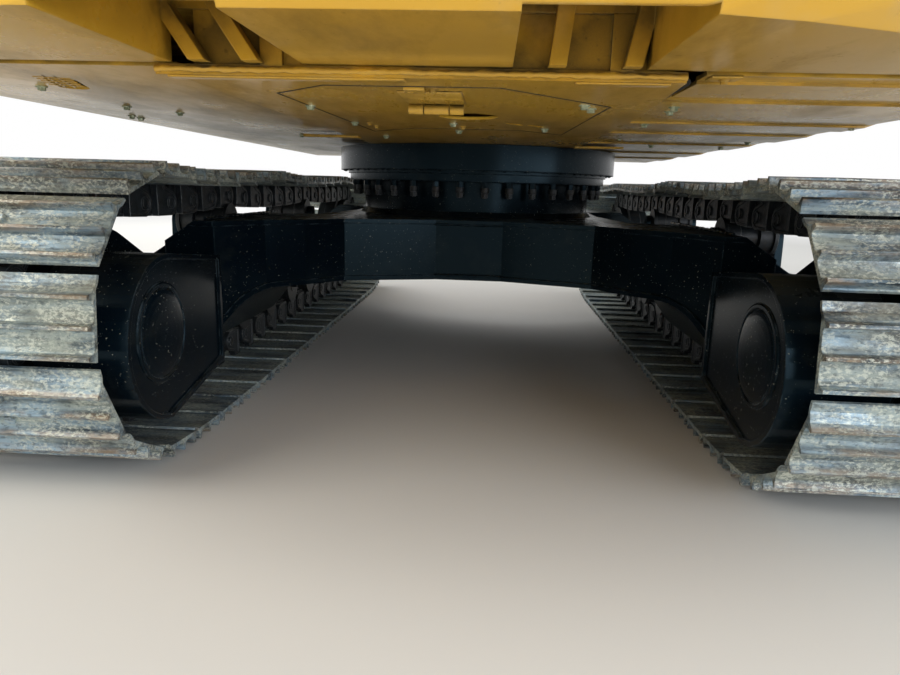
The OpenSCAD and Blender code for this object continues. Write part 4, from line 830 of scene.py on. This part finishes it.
addSlotGuard()
# Dark rubber lines round the hatch and along the frame's edge: painted shadow of the gaps
seams = [addLine("seam", [spot(x, y, underside["plateZ"] + underside["seamUp"])
                          for x, y in underside["seam"]], underside["seamMm"] / 1000, 1, True),
         addLine("seam", [spot(*point) for point in underside["gap"]], underside["gapMm"] / 1000, 1)]
settle(joinPieces("hatchSeamShadow", seams), "upper", sealRubber, 60)
addUndersidePlates()

welds = {
    "beadMm": 6,
    "upper": [
        [(-2.492, 0.520, 1.040), (-2.492, -0.420, 1.040)], [(-2.472, 0.520, 1.046), (-2.472, 0.490, 1.046)],
        [(-2.472, 0.489, 1.040), (-2.100, 0.493, 1.040), (0.900, 0.461, 1.040)],
        [(0.901, -0.460, 1.040), (0.901, 0.460, 1.040)],
    ],
    "undercarriage": [
        [(-0.640, 0.893, 0.716), (-1.440, 0.893, 0.716)], [(-0.640, -0.893, 0.716), (-1.440, -0.893, 0.716)],
        [(-0.888, -0.140, 0.692), (-0.888, 0.140, 0.692)], [(-0.888, -0.140, 0.478), (-0.888, 0.140, 0.478)],
    ],
}


def addWelds(body, material):
    beads = [addBead([spot(*point) for point in route], welds["beadMm"]) for route in welds[body]]
    settle(joinPieces("welds_" + body, beads), body, material, 60)


addWelds("upper", yellowEnamel)
addWelds("undercarriage", blackEnamel)

print("stage: arm")
arm = {
    # Boom stations as built: along its line, middle height, half the depth, m
    "stations": [(0.50, 0.330, 0.215), (1.30, 0.770, 0.310), (2.20, 0.960, 0.345), (3.00, 0.850, 0.310),
                 (4.20, 0.460, 0.235), (5.25, 0.110, 0.160)],
    "pipeShares": (0.30, 0.48), "pipeSide": 0.240, "pipeMm": 14, "bend": 0.35,
    "fitting": (0.022, 0.05),  # radius, length
    # Clamps just ahead of each station: corners, and their place on the boom
    "clamp": ((-0.03, -0.014, -0.075), (0.03, 0.024, 0.075)), "clampAhead": 0.06, "clampShare": 0.39,
    "clampIn": 0.008,
}
boomFoot = Vector(joints["boom_lift"]["pos_m"])
boomTip = Vector(joints["stick_swing"]["pos_m"])
boomLine = (boomTip - boomFoot).normalized()
boomUp = Vector((-boomLine.z, 0, boomLine.x))


def onBoom(along, up, across):
    return boomFoot + boomLine * along + boomUp * up + Vector((0, across, 0))


def addBoomPipes():
    parts = []
    for side in (-1, 1):
        for share in arm["pipeShares"]:
            route = [onBoom(s, mid + share * half, side * arm["pipeSide"])
                     for s, mid, half in arm["stations"]]
            parts.append(addLine("pipe", roundCorners(route, arm["bend"], 7), arm["pipeMm"] / 1000, 2))
            for end, away in ((route[0], route[1]), (route[-1], route[-2])):
                parts.append(addTurned("fitting", end, end - away, *arm["fitting"], 6, 3, 1))
        for s, mid, half in arm["stations"]:
            centre = onBoom(s + arm["clampAhead"], mid + arm["clampShare"] * half,
                            side * (arm["pipeSide"] - arm["clampIn"]))
            block = addBlock("clamp", *arm["clamp"], 4)
            block.data.transform(Matrix.Translation(centre))
            parts.append(block)
    settle(joinPieces("boomPipes", parts), "boom", yellowEnamel)


addBoomPipes()

# Steel pipe along each barrel, on blocks at its ends and its middle
barrelPipe = {
    "pipeMm": 11, "bend": 0.030, "from": 0.175, "short": 0.060, "sunk": 0.004, "stands": 0.024,
    "blockHalfWide": 0.026, "blockRise": 0.006,
    "blocks": ((0.028, -0.012), (0.020, -0.006), (0.030, -0.004)),  # half length, foot from the barrel's face
    # The pivot, slide, sideways places, radius, length, and the side that the pipe lies on
    "stick_barrel": ("stick_barrel_tilt", "stick_rod_slide", (0,), 0.082, 2.150, 1),
    "bucket_barrel": ("bucket_barrel_tilt", "bucket_rod_slide", (0,), 0.070, 1.450, 1),
    "boom_barrels": ("boom_barrel_tilt", "boom_rod_slide", (-0.326, 0.326), 0.073, 1.420, -1),
}


def addCylinderPipes(body):
    pivot, slide, places, radius, length, side = barrelPipe[body]
    base, line = Vector(joints[pivot]["pos_m"]), Vector(joints[slide]["axis"])
    out = Vector((-line.z, 0, line.x)) * side
    turn = Matrix((line, (0, side, 0), out)).transposed().to_4x4()
    parts = []
    near, far = radius - barrelPipe["sunk"], radius + barrelPipe["stands"]
    first, last = barrelPipe["from"], length - barrelPipe["short"]
    wide, top = barrelPipe["blockHalfWide"], far + barrelPipe["blockRise"]
    for y in places:
        start = Vector((base.x, y, base.z))
        route = [start + line * along + out * rise
                 for along, rise in ((first, near), (first, far), (last, far), (last, near))]
        parts.append(addLine("pipe", roundCorners(route, barrelPipe["bend"]), barrelPipe["pipeMm"] / 1000, 2))
        for along, (half, low) in zip((first, length / 2, last), barrelPipe["blocks"]):
            block = addBlock("block", Vector((-half, -wide, radius + low)), Vector((half, wide, top)), 4)
            block.data.transform(Matrix.Translation(start + line * along) @ turn)
            parts.append(cleanMesh(block))
    settle(joinPieces("pipes_" + body, parts), body, yellowEnamel)


for barrels in ("stick_barrel", "bucket_barrel", "boom_barrels"):
    addCylinderPipes(barrels)

# Caps on the pins' ends, each held by three bolts
pinCap = {
    "thick": 0.010, "boltMm": 8, "boltShare": 0.72, "boltTurns": (0.5, 2.6, 4.7),
    # Name, joint on the pin's axis, how far out the end face stands, radius, body
    "ends": [
        ("boomFootCaps", "boom_lift", 0.348, 0.062, "upper"),
        ("boomTipCaps", "stick_swing", 0.240, 0.058, "boom"),
        ("bucketPinCaps", "bucket_curl", 0.254, 0.052, "bucket"),
        ("guidePinCaps", "guide_link_turn", 0.232, 0.050, "guide_links"),
        ("linkPinCaps", "power_link_turn", 0.232, 0.050, "guide_links"),
    ],
}


def addPinCaps(name, joint, out, radius, body):
    x, _, z = joints[joint]["pos_m"]
    thick, reach = pinCap["thick"], radius * pinCap["boltShare"]
    parts = []
    for side in (-1, 1):
        face = Vector((x, side * out, z))
        parts.append(addTurned("cap", face, (0, side, 0), radius, thick, 24, 4, 1.5))
        heads = [face + Vector((reach * math.cos(a), side * thick, reach * math.sin(a)))
                 for a in pinCap["boltTurns"]]
        bolt = addBoltHead(pinCap["boltMm"], False)
        parts.append(copyMany("heads", [bolt], boltPlaces(heads, (0, side, 0))))
    settle(joinPieces(name, parts), body, paintedCasting)


for end in pinCap["ends"]:
    addPinCaps(*end)

teeth = {"count": 5, "halfSpan": 0.540, "halfWide": 0.043, "tipX": -0.831847, "outline":
         [(-0.004, 0.002), (0.090, 0.001), (0.090, 0.056), (0.060, 0.046), (0.000, 0.018)]}


def addTeeth():
    pin = Vector(joints["bucket_curl"]["pos_m"])
    parts = []
    for i in range(teeth["count"]):
        y = -teeth["halfSpan"] + 2 * teeth["halfSpan"] * i / (teeth["count"] - 1)
        outline = [(pin.x + teeth["tipX"] + a, b) for a, b in teeth["outline"]]
        tooth = addPrism("tooth", outline, y - teeth["halfWide"], y + teeth["halfWide"])
        parts.append(easeEdges(tooth, 4, 2, 40))
    settle(joinPieces("toothTips", parts), "bucket", paintedCasting)


addTeeth()

print("stage: cab")
cab = {
    "y0": 0.440, "y1": 1.355, "rear": -0.410, "sealMm": 7, "sealIn": 0.003, "doorRail": (1.640, 1.780),
    "doorFrame": 0.080, "sideFrame": 0.130,
    # Outlines of the door, the right side, the quarter window and, across, the rear window
    "door": [(0.156, 1.276), (1.314, 1.276), (1.314, 1.900), (1.279, 2.120), (1.099, 2.824),
             (0.156, 2.824)],
    "side": [(-0.410, 1.180), (1.400, 1.180), (1.430, 1.240), (1.430, 1.900), (1.400, 2.120),
             *arcPoints((1.110, 2.830), 0.130, 24, 90, 3), *arcPoints((-0.310, 2.860), 0.100, 90, 180, 3)],
    "quarter": [(-0.320, 1.800), (0.090, 1.800), (0.090, 2.840), (-0.320, 2.840)],
    "rearPane": [(0.520, 1.900), (1.275, 1.900), (1.275, 2.780), (0.520, 2.780)],
}
cabMiddle = (cab["y0"] + cab["y1"]) / 2


def insetOutline(points, distance):  # of a convex outline that runs counter-clockwise
    made = []
    for before, corner, after in zip(points[-1:] + points[:-1], points, points[1:] + points[:1]):
        into = (Vector(corner) - Vector(before)).normalized()
        away = (Vector(after) - Vector(corner)).normalized()
        inward = Vector((-into.y, into.x)) + Vector((-away.y, away.x))
        made.append(tuple(Vector(corner) + inward * (distance / (1 + into.dot(away)))))
    return made


def addSeals():
    low, high = cab["doorRail"]
    sunk, thick = cab["sealIn"], cab["sealMm"] / 1000
    around = insetOutline(cab["door"], cab["doorFrame"])
    rear, front = around[0][0], around[1][0]
    lower = [*around[:2], (front, low), (rear, low)]
    upper = [(rear, high), (front, high), *around[2:]]
    fixed = [[spot(x, cab["y1"] - sunk, z) for x, z in cab["quarter"]],
             [spot(x, cab["y0"] + sunk, z) for x, z in insetOutline(cab["side"], cab["sideFrame"])],
             [spot(cab["rear"] + sunk, y, z) for y, z in cab["rearPane"]]]
    hung = [[spot(x, cab["y1"] - 2 * sunk, z) for x, z in outline] for outline in (lower, upper)]
    for name, body, routes in (("cabSeals", "upper", fixed), ("doorSeals", "cab_door", hung)):
        seals = [addLine("seal", route, thick, 1, True) for route in routes]
        settle(joinPieces(name, seals), body, sealRubber, 60)


addSeals()

seat = {
    "cuts": 11, "seamReach": 0.12, "seamPull": 0.975,
    # Name, corners about its own foot, crown, seams as shares of its half width, place along and up, lean
    "pads": [
        ("seatCushion", (0, -0.245, 0), (0.540, 0.245, 0.115), 0.020, (-0.55, 0.55), (0.150, 1.520), 0),
        ("seatBack", (-0.055, -0.235, 0), (0.060, 0.235, 0.72), 0.020, (-0.55, 0.55), (0.235, 1.605), -0.10),
        ("headRest", (-0.045, -0.13, 0), (0.045, 0.13, 0.17), 0.018, (), (0.160, 2.360), -0.10),
    ],
}


# Padded form: a block cut fine, crowned on its faces, pulled in at its seams
def addPad(name, low, high, crown, seams, place, lean):
    low, high = Vector(low), Vector(high)
    pad = addPrism(name, [(low.x, low.z), (high.x, low.z), (high.x, high.z), (low.x, high.z)], low.y, high.y)
    bpy.ops.object.mode_set(mode="EDIT")
    bpy.ops.mesh.select_all(action="SELECT")
    bpy.ops.mesh.subdivide(number_cuts=seat["cuts"])
    leaveEdit()
    middle, half = (low + high) / 2, (high - low) / 2
    for corner in pad.data.vertices:
        u = [(corner.co[i] - middle[i]) / half[i] for i in range(3)]
        for i in range(3):
            others = [u[j] for j in range(3) if j != i]
            bulge = (1 - others[0] ** 4) * (1 - others[1] ** 4)
            if abs(u[i]) > 0.99:  # on the face
                corner.co[i] -= math.copysign(crown * (1 - bulge), u[i])
        if any(abs(u[1] - seam) < seat["seamReach"] for seam in seams):
            corner.co = middle + (corner.co - middle) * seat["seamPull"]
    pick(pad)
    smooth = pad.modifiers.new("round", "SUBSURF")
    smooth.levels = smooth.render_levels = 1
    bpy.ops.object.modifier_apply(modifier=smooth.name)
    x, z = place
    pad.data.transform(Matrix.Translation(spot(x, cabMiddle, z)) @ Matrix.Rotation(lean, 4, "Y"))
    return pad


for row in seat["pads"]:
    pad = addPad(*row)
    settle(pad, "upper", wovenCloth, 0)

console = {
    "foot": [(0.200, 1.230), (0.620, 1.230), (0.560, 1.521), (0.260, 1.521)], "footHalf": 0.12,
    "box": [(0.200, 1.230), (0.640, 1.230), (0.680, 1.700), (0.760, 1.760), (0.740, 1.800),
            (0.200, 1.800)],
    "boxAcross": (-0.370, 0.260), "boxWide": 0.110, "stickAt": (0.670, 1.795),
    # Joystick: offset, direction, radius, length, sides, step and ease in mm
    "stick": [
        ("boot", (0, 0, 0), (0.1, 0, 1), 0.034, 0.040, 20, 18, 6),
        ("stalk", (0.004, 0, 0.04), (0.1, 0, 1), 0.009, 0.075, 12, 0, 1),
        ("grip", (0.012, 0, 0.11), (0.12, 0, 1), 0.023, 0.110, 20, 12, 9),
    ],
    "leverAcross": (-0.09, 0.09), "lever": [(1.02, 1.230), (1.00, 1.42), (0.90, 1.78)], "leverMm": 10,
    "leverBend": 0.08,
    "knobAt": (0.897, 1.775), "knob": ((-0.25, 0, 1), 0.018, 0.10, 16, 8, 7),
    "pedal": ((0.96, 1.262), (1.16, 1.278)), "pedalHalf": 0.05,
    "screen": ((1.06, 0.505, 1.86), (1.085, 0.700, 2.00)),
    "mat": ((0.30, 0.500, 1.230), (1.36, 1.295, 1.238)),
}


def addSideways(name, outline, y0, y1):  # a prism across the machine, its outline about the swing axis
    return addPrism(name, [(swingAt.x + x, z) for x, z in outline], y0, y1)


def addConsoles():
    half = console["footHalf"]
    foot = addSideways("foot", console["foot"], cabMiddle - half, cabMiddle + half)
    parts = [easeEdges(foot, 10, 3)]
    for across in console["boxAcross"]:
        y0, y1 = cabMiddle + across, cabMiddle + across + console["boxWide"]
        parts.append(easeEdges(addSideways("console", console["box"], y0, y1), 14, 3, 20))
        x, z = console["stickAt"]
        for name, offset, direction, *sizes in console["stick"]:
            parts.append(addTurned(name, spot(x, (y0 + y1) / 2, z) + Vector(offset), direction, *sizes))
    for across in console["leverAcross"]:
        y = cabMiddle + across
        lever = [spot(x, y, z) for x, z in console["lever"]]
        lever = roundCorners(lever, console["leverBend"])
        parts.append(addLine("lever", lever, console["leverMm"] / 1000, 2))
        x, z = console["knobAt"]
        parts.append(addTurned("knob", spot(x, y, z), *console["knob"]))
        (x0, z0), (x1, z1) = console["pedal"]
        half = console["pedalHalf"]
        parts.append(addBlock("pedal", spot(x0, y - half, z0), spot(x1, y + half, z1), 4))
    parts += [addBox("screen", console["screen"], 6), addBox("mat", console["mat"], 2)]
    settle(joinPieces("consoles", parts), "upper", cabTrim, 40, ("cab_seat",))


addConsoles()

wiper = {
    "arm": [(1.436, 0.80, 1.34), (1.446, 0.83, 1.36), (1.442, 0.93, 1.70)], "armMm": 5,
    "blade": ((1.430, 0.922, 1.45), (1.442, 0.938, 1.89)), "pivot": (1.428, 0.80, 1.34),
    "pivotMm": 18, "pivotLongMm": 22,
}


def addWiper():
    parts = [addLine("arm", [spot(*point) for point in wiper["arm"]], wiper["armMm"] / 1000, 1),
             addBox("blade", wiper["blade"], 2),
             addTurned("pivot", spot(*wiper["pivot"]), (1, 0, 0), wiper["pivotMm"] / 1000,
                       wiper["pivotLongMm"] / 1000, 16, 0, 3)]
    settle(joinPieces("wiper", parts), "upper", blackPlastic)


addWiper()

# Grip over the door's pull and the rail beside it
cabFittings = {"pull": ((1.090, 1.376, 1.668), (1.210, 1.386, 1.704)), "railMm": 11,
               "rail": [(1.372, 1.352, 1.420), (1.372, 1.405, 1.440), (1.372, 1.405, 1.860),
                        (1.372, 1.352, 1.880)],
               "railBend": 0.035, "foot": (0.024, 0.007), "footIn": 0.002}


def addCabFittings():
    settle(addBox("doorPull", cabFittings["pull"], 4), "cab_door", blackPlastic)
    route = roundCorners([spot(*point) for point in cabFittings["rail"]], cabFittings["railBend"], 6)
    rail = addLine("grabRail", route, cabFittings["railMm"] / 1000, 2)
    face = cab["y1"] - cabFittings["footIn"]
    feet = [addTurned("foot", spot(x, face, z), (0, 1, 0), *cabFittings["foot"], 20, 0, 1.5)
            for x, _, z in (cabFittings["rail"][0], cabFittings["rail"][-1])]
    settle(joinPieces("grabRail", [rail, *feet]), "upper", blackPlastic)


addCabFittings()

print("stage: upper fittings")
fittings = {
    "lamps": [(1.078, 0.590, 3.0343), (1.078, 1.205, 3.0343), (1.218, -1.105, 1.4743)],
    "lens": (0.037, 0.003),  # radius, thickness
    # Mirrors: place, turn, width, height; their panes: back and front face, and the rim round them
    "mirrors": [((1.150, -1.3323, 2.390), 12, 0.190, 0.290), ((1.400, 1.440, 2.150), -14, 0.160, 0.330)],
    "pane": (-0.0255, -0.0215), "paneRim": 0.014,
    # On the side doors: the body, its side, and where along it lies
    "latches": [("left_door", 1, -0.60), ("right_door", -1, -0.93)],
    "screens": [("left_door", 1, (-1.932, -0.618)), ("right_door", -1, (-1.932, -0.948))],
    # Name, extent along, out and up, and the ease of its edges in mm
    "latchParts": [("rim", (-0.075, 0.015), (1.345, 1.351), (1.57, 1.67), 2),
                   ("paddle", (-0.062, -0.004), (1.345, 1.358), (1.585, 1.640), 3)],
    "screenOut": (1.322, 1.324), "screenUp": (1.335, 1.945),
}


def addLenses():
    lenses = [addTurned("lens", spot(x, y, z), (1, 0, 0), *fittings["lens"], 24, 3, 1)
              for x, y, z in fittings["lamps"]]
    settle(joinPieces("lampLenses", lenses), "upper", rodChrome)


addLenses()


def addMirrorGlass():
    panes = []
    for place, turn, width, height in fittings["mirrors"]:
        halfWide, halfHigh = width / 2 - fittings["paneRim"], height / 2 - fittings["paneRim"]
        back, front = fittings["pane"]
        pane = addBlock("pane", (back, -halfWide, -halfHigh), (front, halfWide, halfHigh), 1.5)
        pane.data.transform(Matrix.Translation(spot(*place)) @ Matrix.Rotation(math.radians(turn), 4, "Z"))
        panes.append(pane)
    settle(joinPieces("mirrorGlass", panes), "upper", rodChrome)


addMirrorGlass()


def addOnDoor(name, side, along, out, up, easeMm, segments=2):
    y0, y1 = sorted(side * y for y in out)
    return addBlock(name, spot(along[0], y0, up[0]), spot(along[1], y1, up[1]), easeMm, segments)


def addDoorFittings():
    for body, side, x in fittings["latches"]:
        parts = [addOnDoor(name, side, (x + along[0], x + along[1]), out, up, easeMm)
                 for name, along, out, up, easeMm in fittings["latchParts"]]
        settle(joinPieces("latch_" + body, parts), body, blackPlastic)
    for body, side, along in fittings["screens"]:
        screen = addOnDoor("screen_" + body, side, along, fittings["screenOut"], fittings["screenUp"], 0.5, 1)
        settle(screen, body, sealRubber)


addDoorFittings()

# Blank data plate with its rivets
dataPlate = {"corners": ((0.020, -1.3485, 1.640), (0.150, -1.3445, 1.730)), "inset": 0.010, "rivetMm": 3}


def addBlankPlate():
    low, high = dataPlate["corners"]
    inset = dataPlate["inset"]
    plate = addBox("dataPlate", dataPlate["corners"], 1)
    rivets = [spot(x, low[1], z) for x in (low[0] + inset, high[0] - inset)
              for z in (low[2] + inset, high[2] - inset)]
    rivet = addTurned("rivet", (0, 0, -0.001), (0, 0, 1), dataPlate["rivetMm"] / 1000, 0.003, 12, 0, 0.8)
    heads = copyMany("rivets", [rivet], boltPlaces(rivets, (0, -1, 0)))
    settle(joinPieces("dataPlate", [plate, heads]), "upper", zinc)


addBlankPlate()

print("stage: studio")
studio = {
    "floorSize": 120.0, "floorColour": "#DAD8D3", "fadeFrom": 8.5, "fadeTo": 15.0, "backdrop": 1.0,
    "worldColour": "#E6EAEE", "worldStrength": 0.85,
    "lamps": [  # name, place about the swing axis, width and height, power, colour
        ("key", (-7, 6, 8), (7.0, 7.0), 780.0, "#FFF8EC"),
        ("fill", (-8, -7, 2.7), (9.0, 4.6), 590.0, "#EEF4FF"),
        ("front", (10, 5, 8), (7.0, 7.0), 700.0, "#FFFFFF")],
}


def addFloor():
    bpy.ops.object.select_all(action="DESELECT")
    bpy.ops.mesh.primitive_plane_add(size=studio["floorSize"], location=(0, 0, 0))
    floor = bpy.context.object
    floor.name = "floor"
    made, add = startMaterial("paleFloor")
    pale = add("BsdfPrincipled", Base_Color=studio["floorColour"], Roughness=0.9)
    far = add("VectorMath", add("TexCoord", out="Object"), operation="LENGTH")
    fade = add("Math", add("LightPath", out="Is Camera Ray"),
               add("MapRange", far, studio["fadeFrom"], studio["fadeTo"]), operation="MULTIPLY")
    white = add("Emission", (1, 1, 1, 1), 1.0)
    add("OutputMaterial", add("MixShader", fade, pale, white))
    floor.data.materials.append(made)


def addWorld():
    world = bpy.data.worlds.new("studio")
    bpy.context.scene.world = world
    world.use_nodes = True
    world.node_tree.nodes.clear()
    add = partial(addNode, world.node_tree)
    soft = add("Background", studio["worldColour"], studio["worldStrength"])
    white = add("Background", (1, 1, 1, 1), studio["backdrop"])
    seen = add("LightPath", out="Is Camera Ray")
    for ray in ("Is Glossy Ray", "Is Transmission Ray"):
        seen = add("Math", seen, add("LightPath", out=ray), operation="MAXIMUM")
    add("OutputWorld", add("MixShader", seen, soft, white))


def addLamp(name, place, target, size, power, colour):
    lamp = bpy.data.lights.new(name, "AREA")
    lamp.shape = "RECTANGLE"
    lamp.size, lamp.size_y = size
    lamp.energy = power
    lamp.color = toLinear(colour)[:3]
    made = bpy.data.objects.new(name, lamp)
    bpy.context.scene.collection.objects.link(made)
    made.location = place
    made.visible_camera = False
    made.rotation_euler = (Vector(target) - Vector(place)).to_track_quat("-Z", "Y").to_euler()


addFloor()
addWorld()
for lampName, place, size, power, colour in studio["lamps"]:
    addLamp(lampName, spot(*place), spot(1, 0, 1), size, power, colour)
bpy.context.scene.view_settings.view_transform = "Standard"
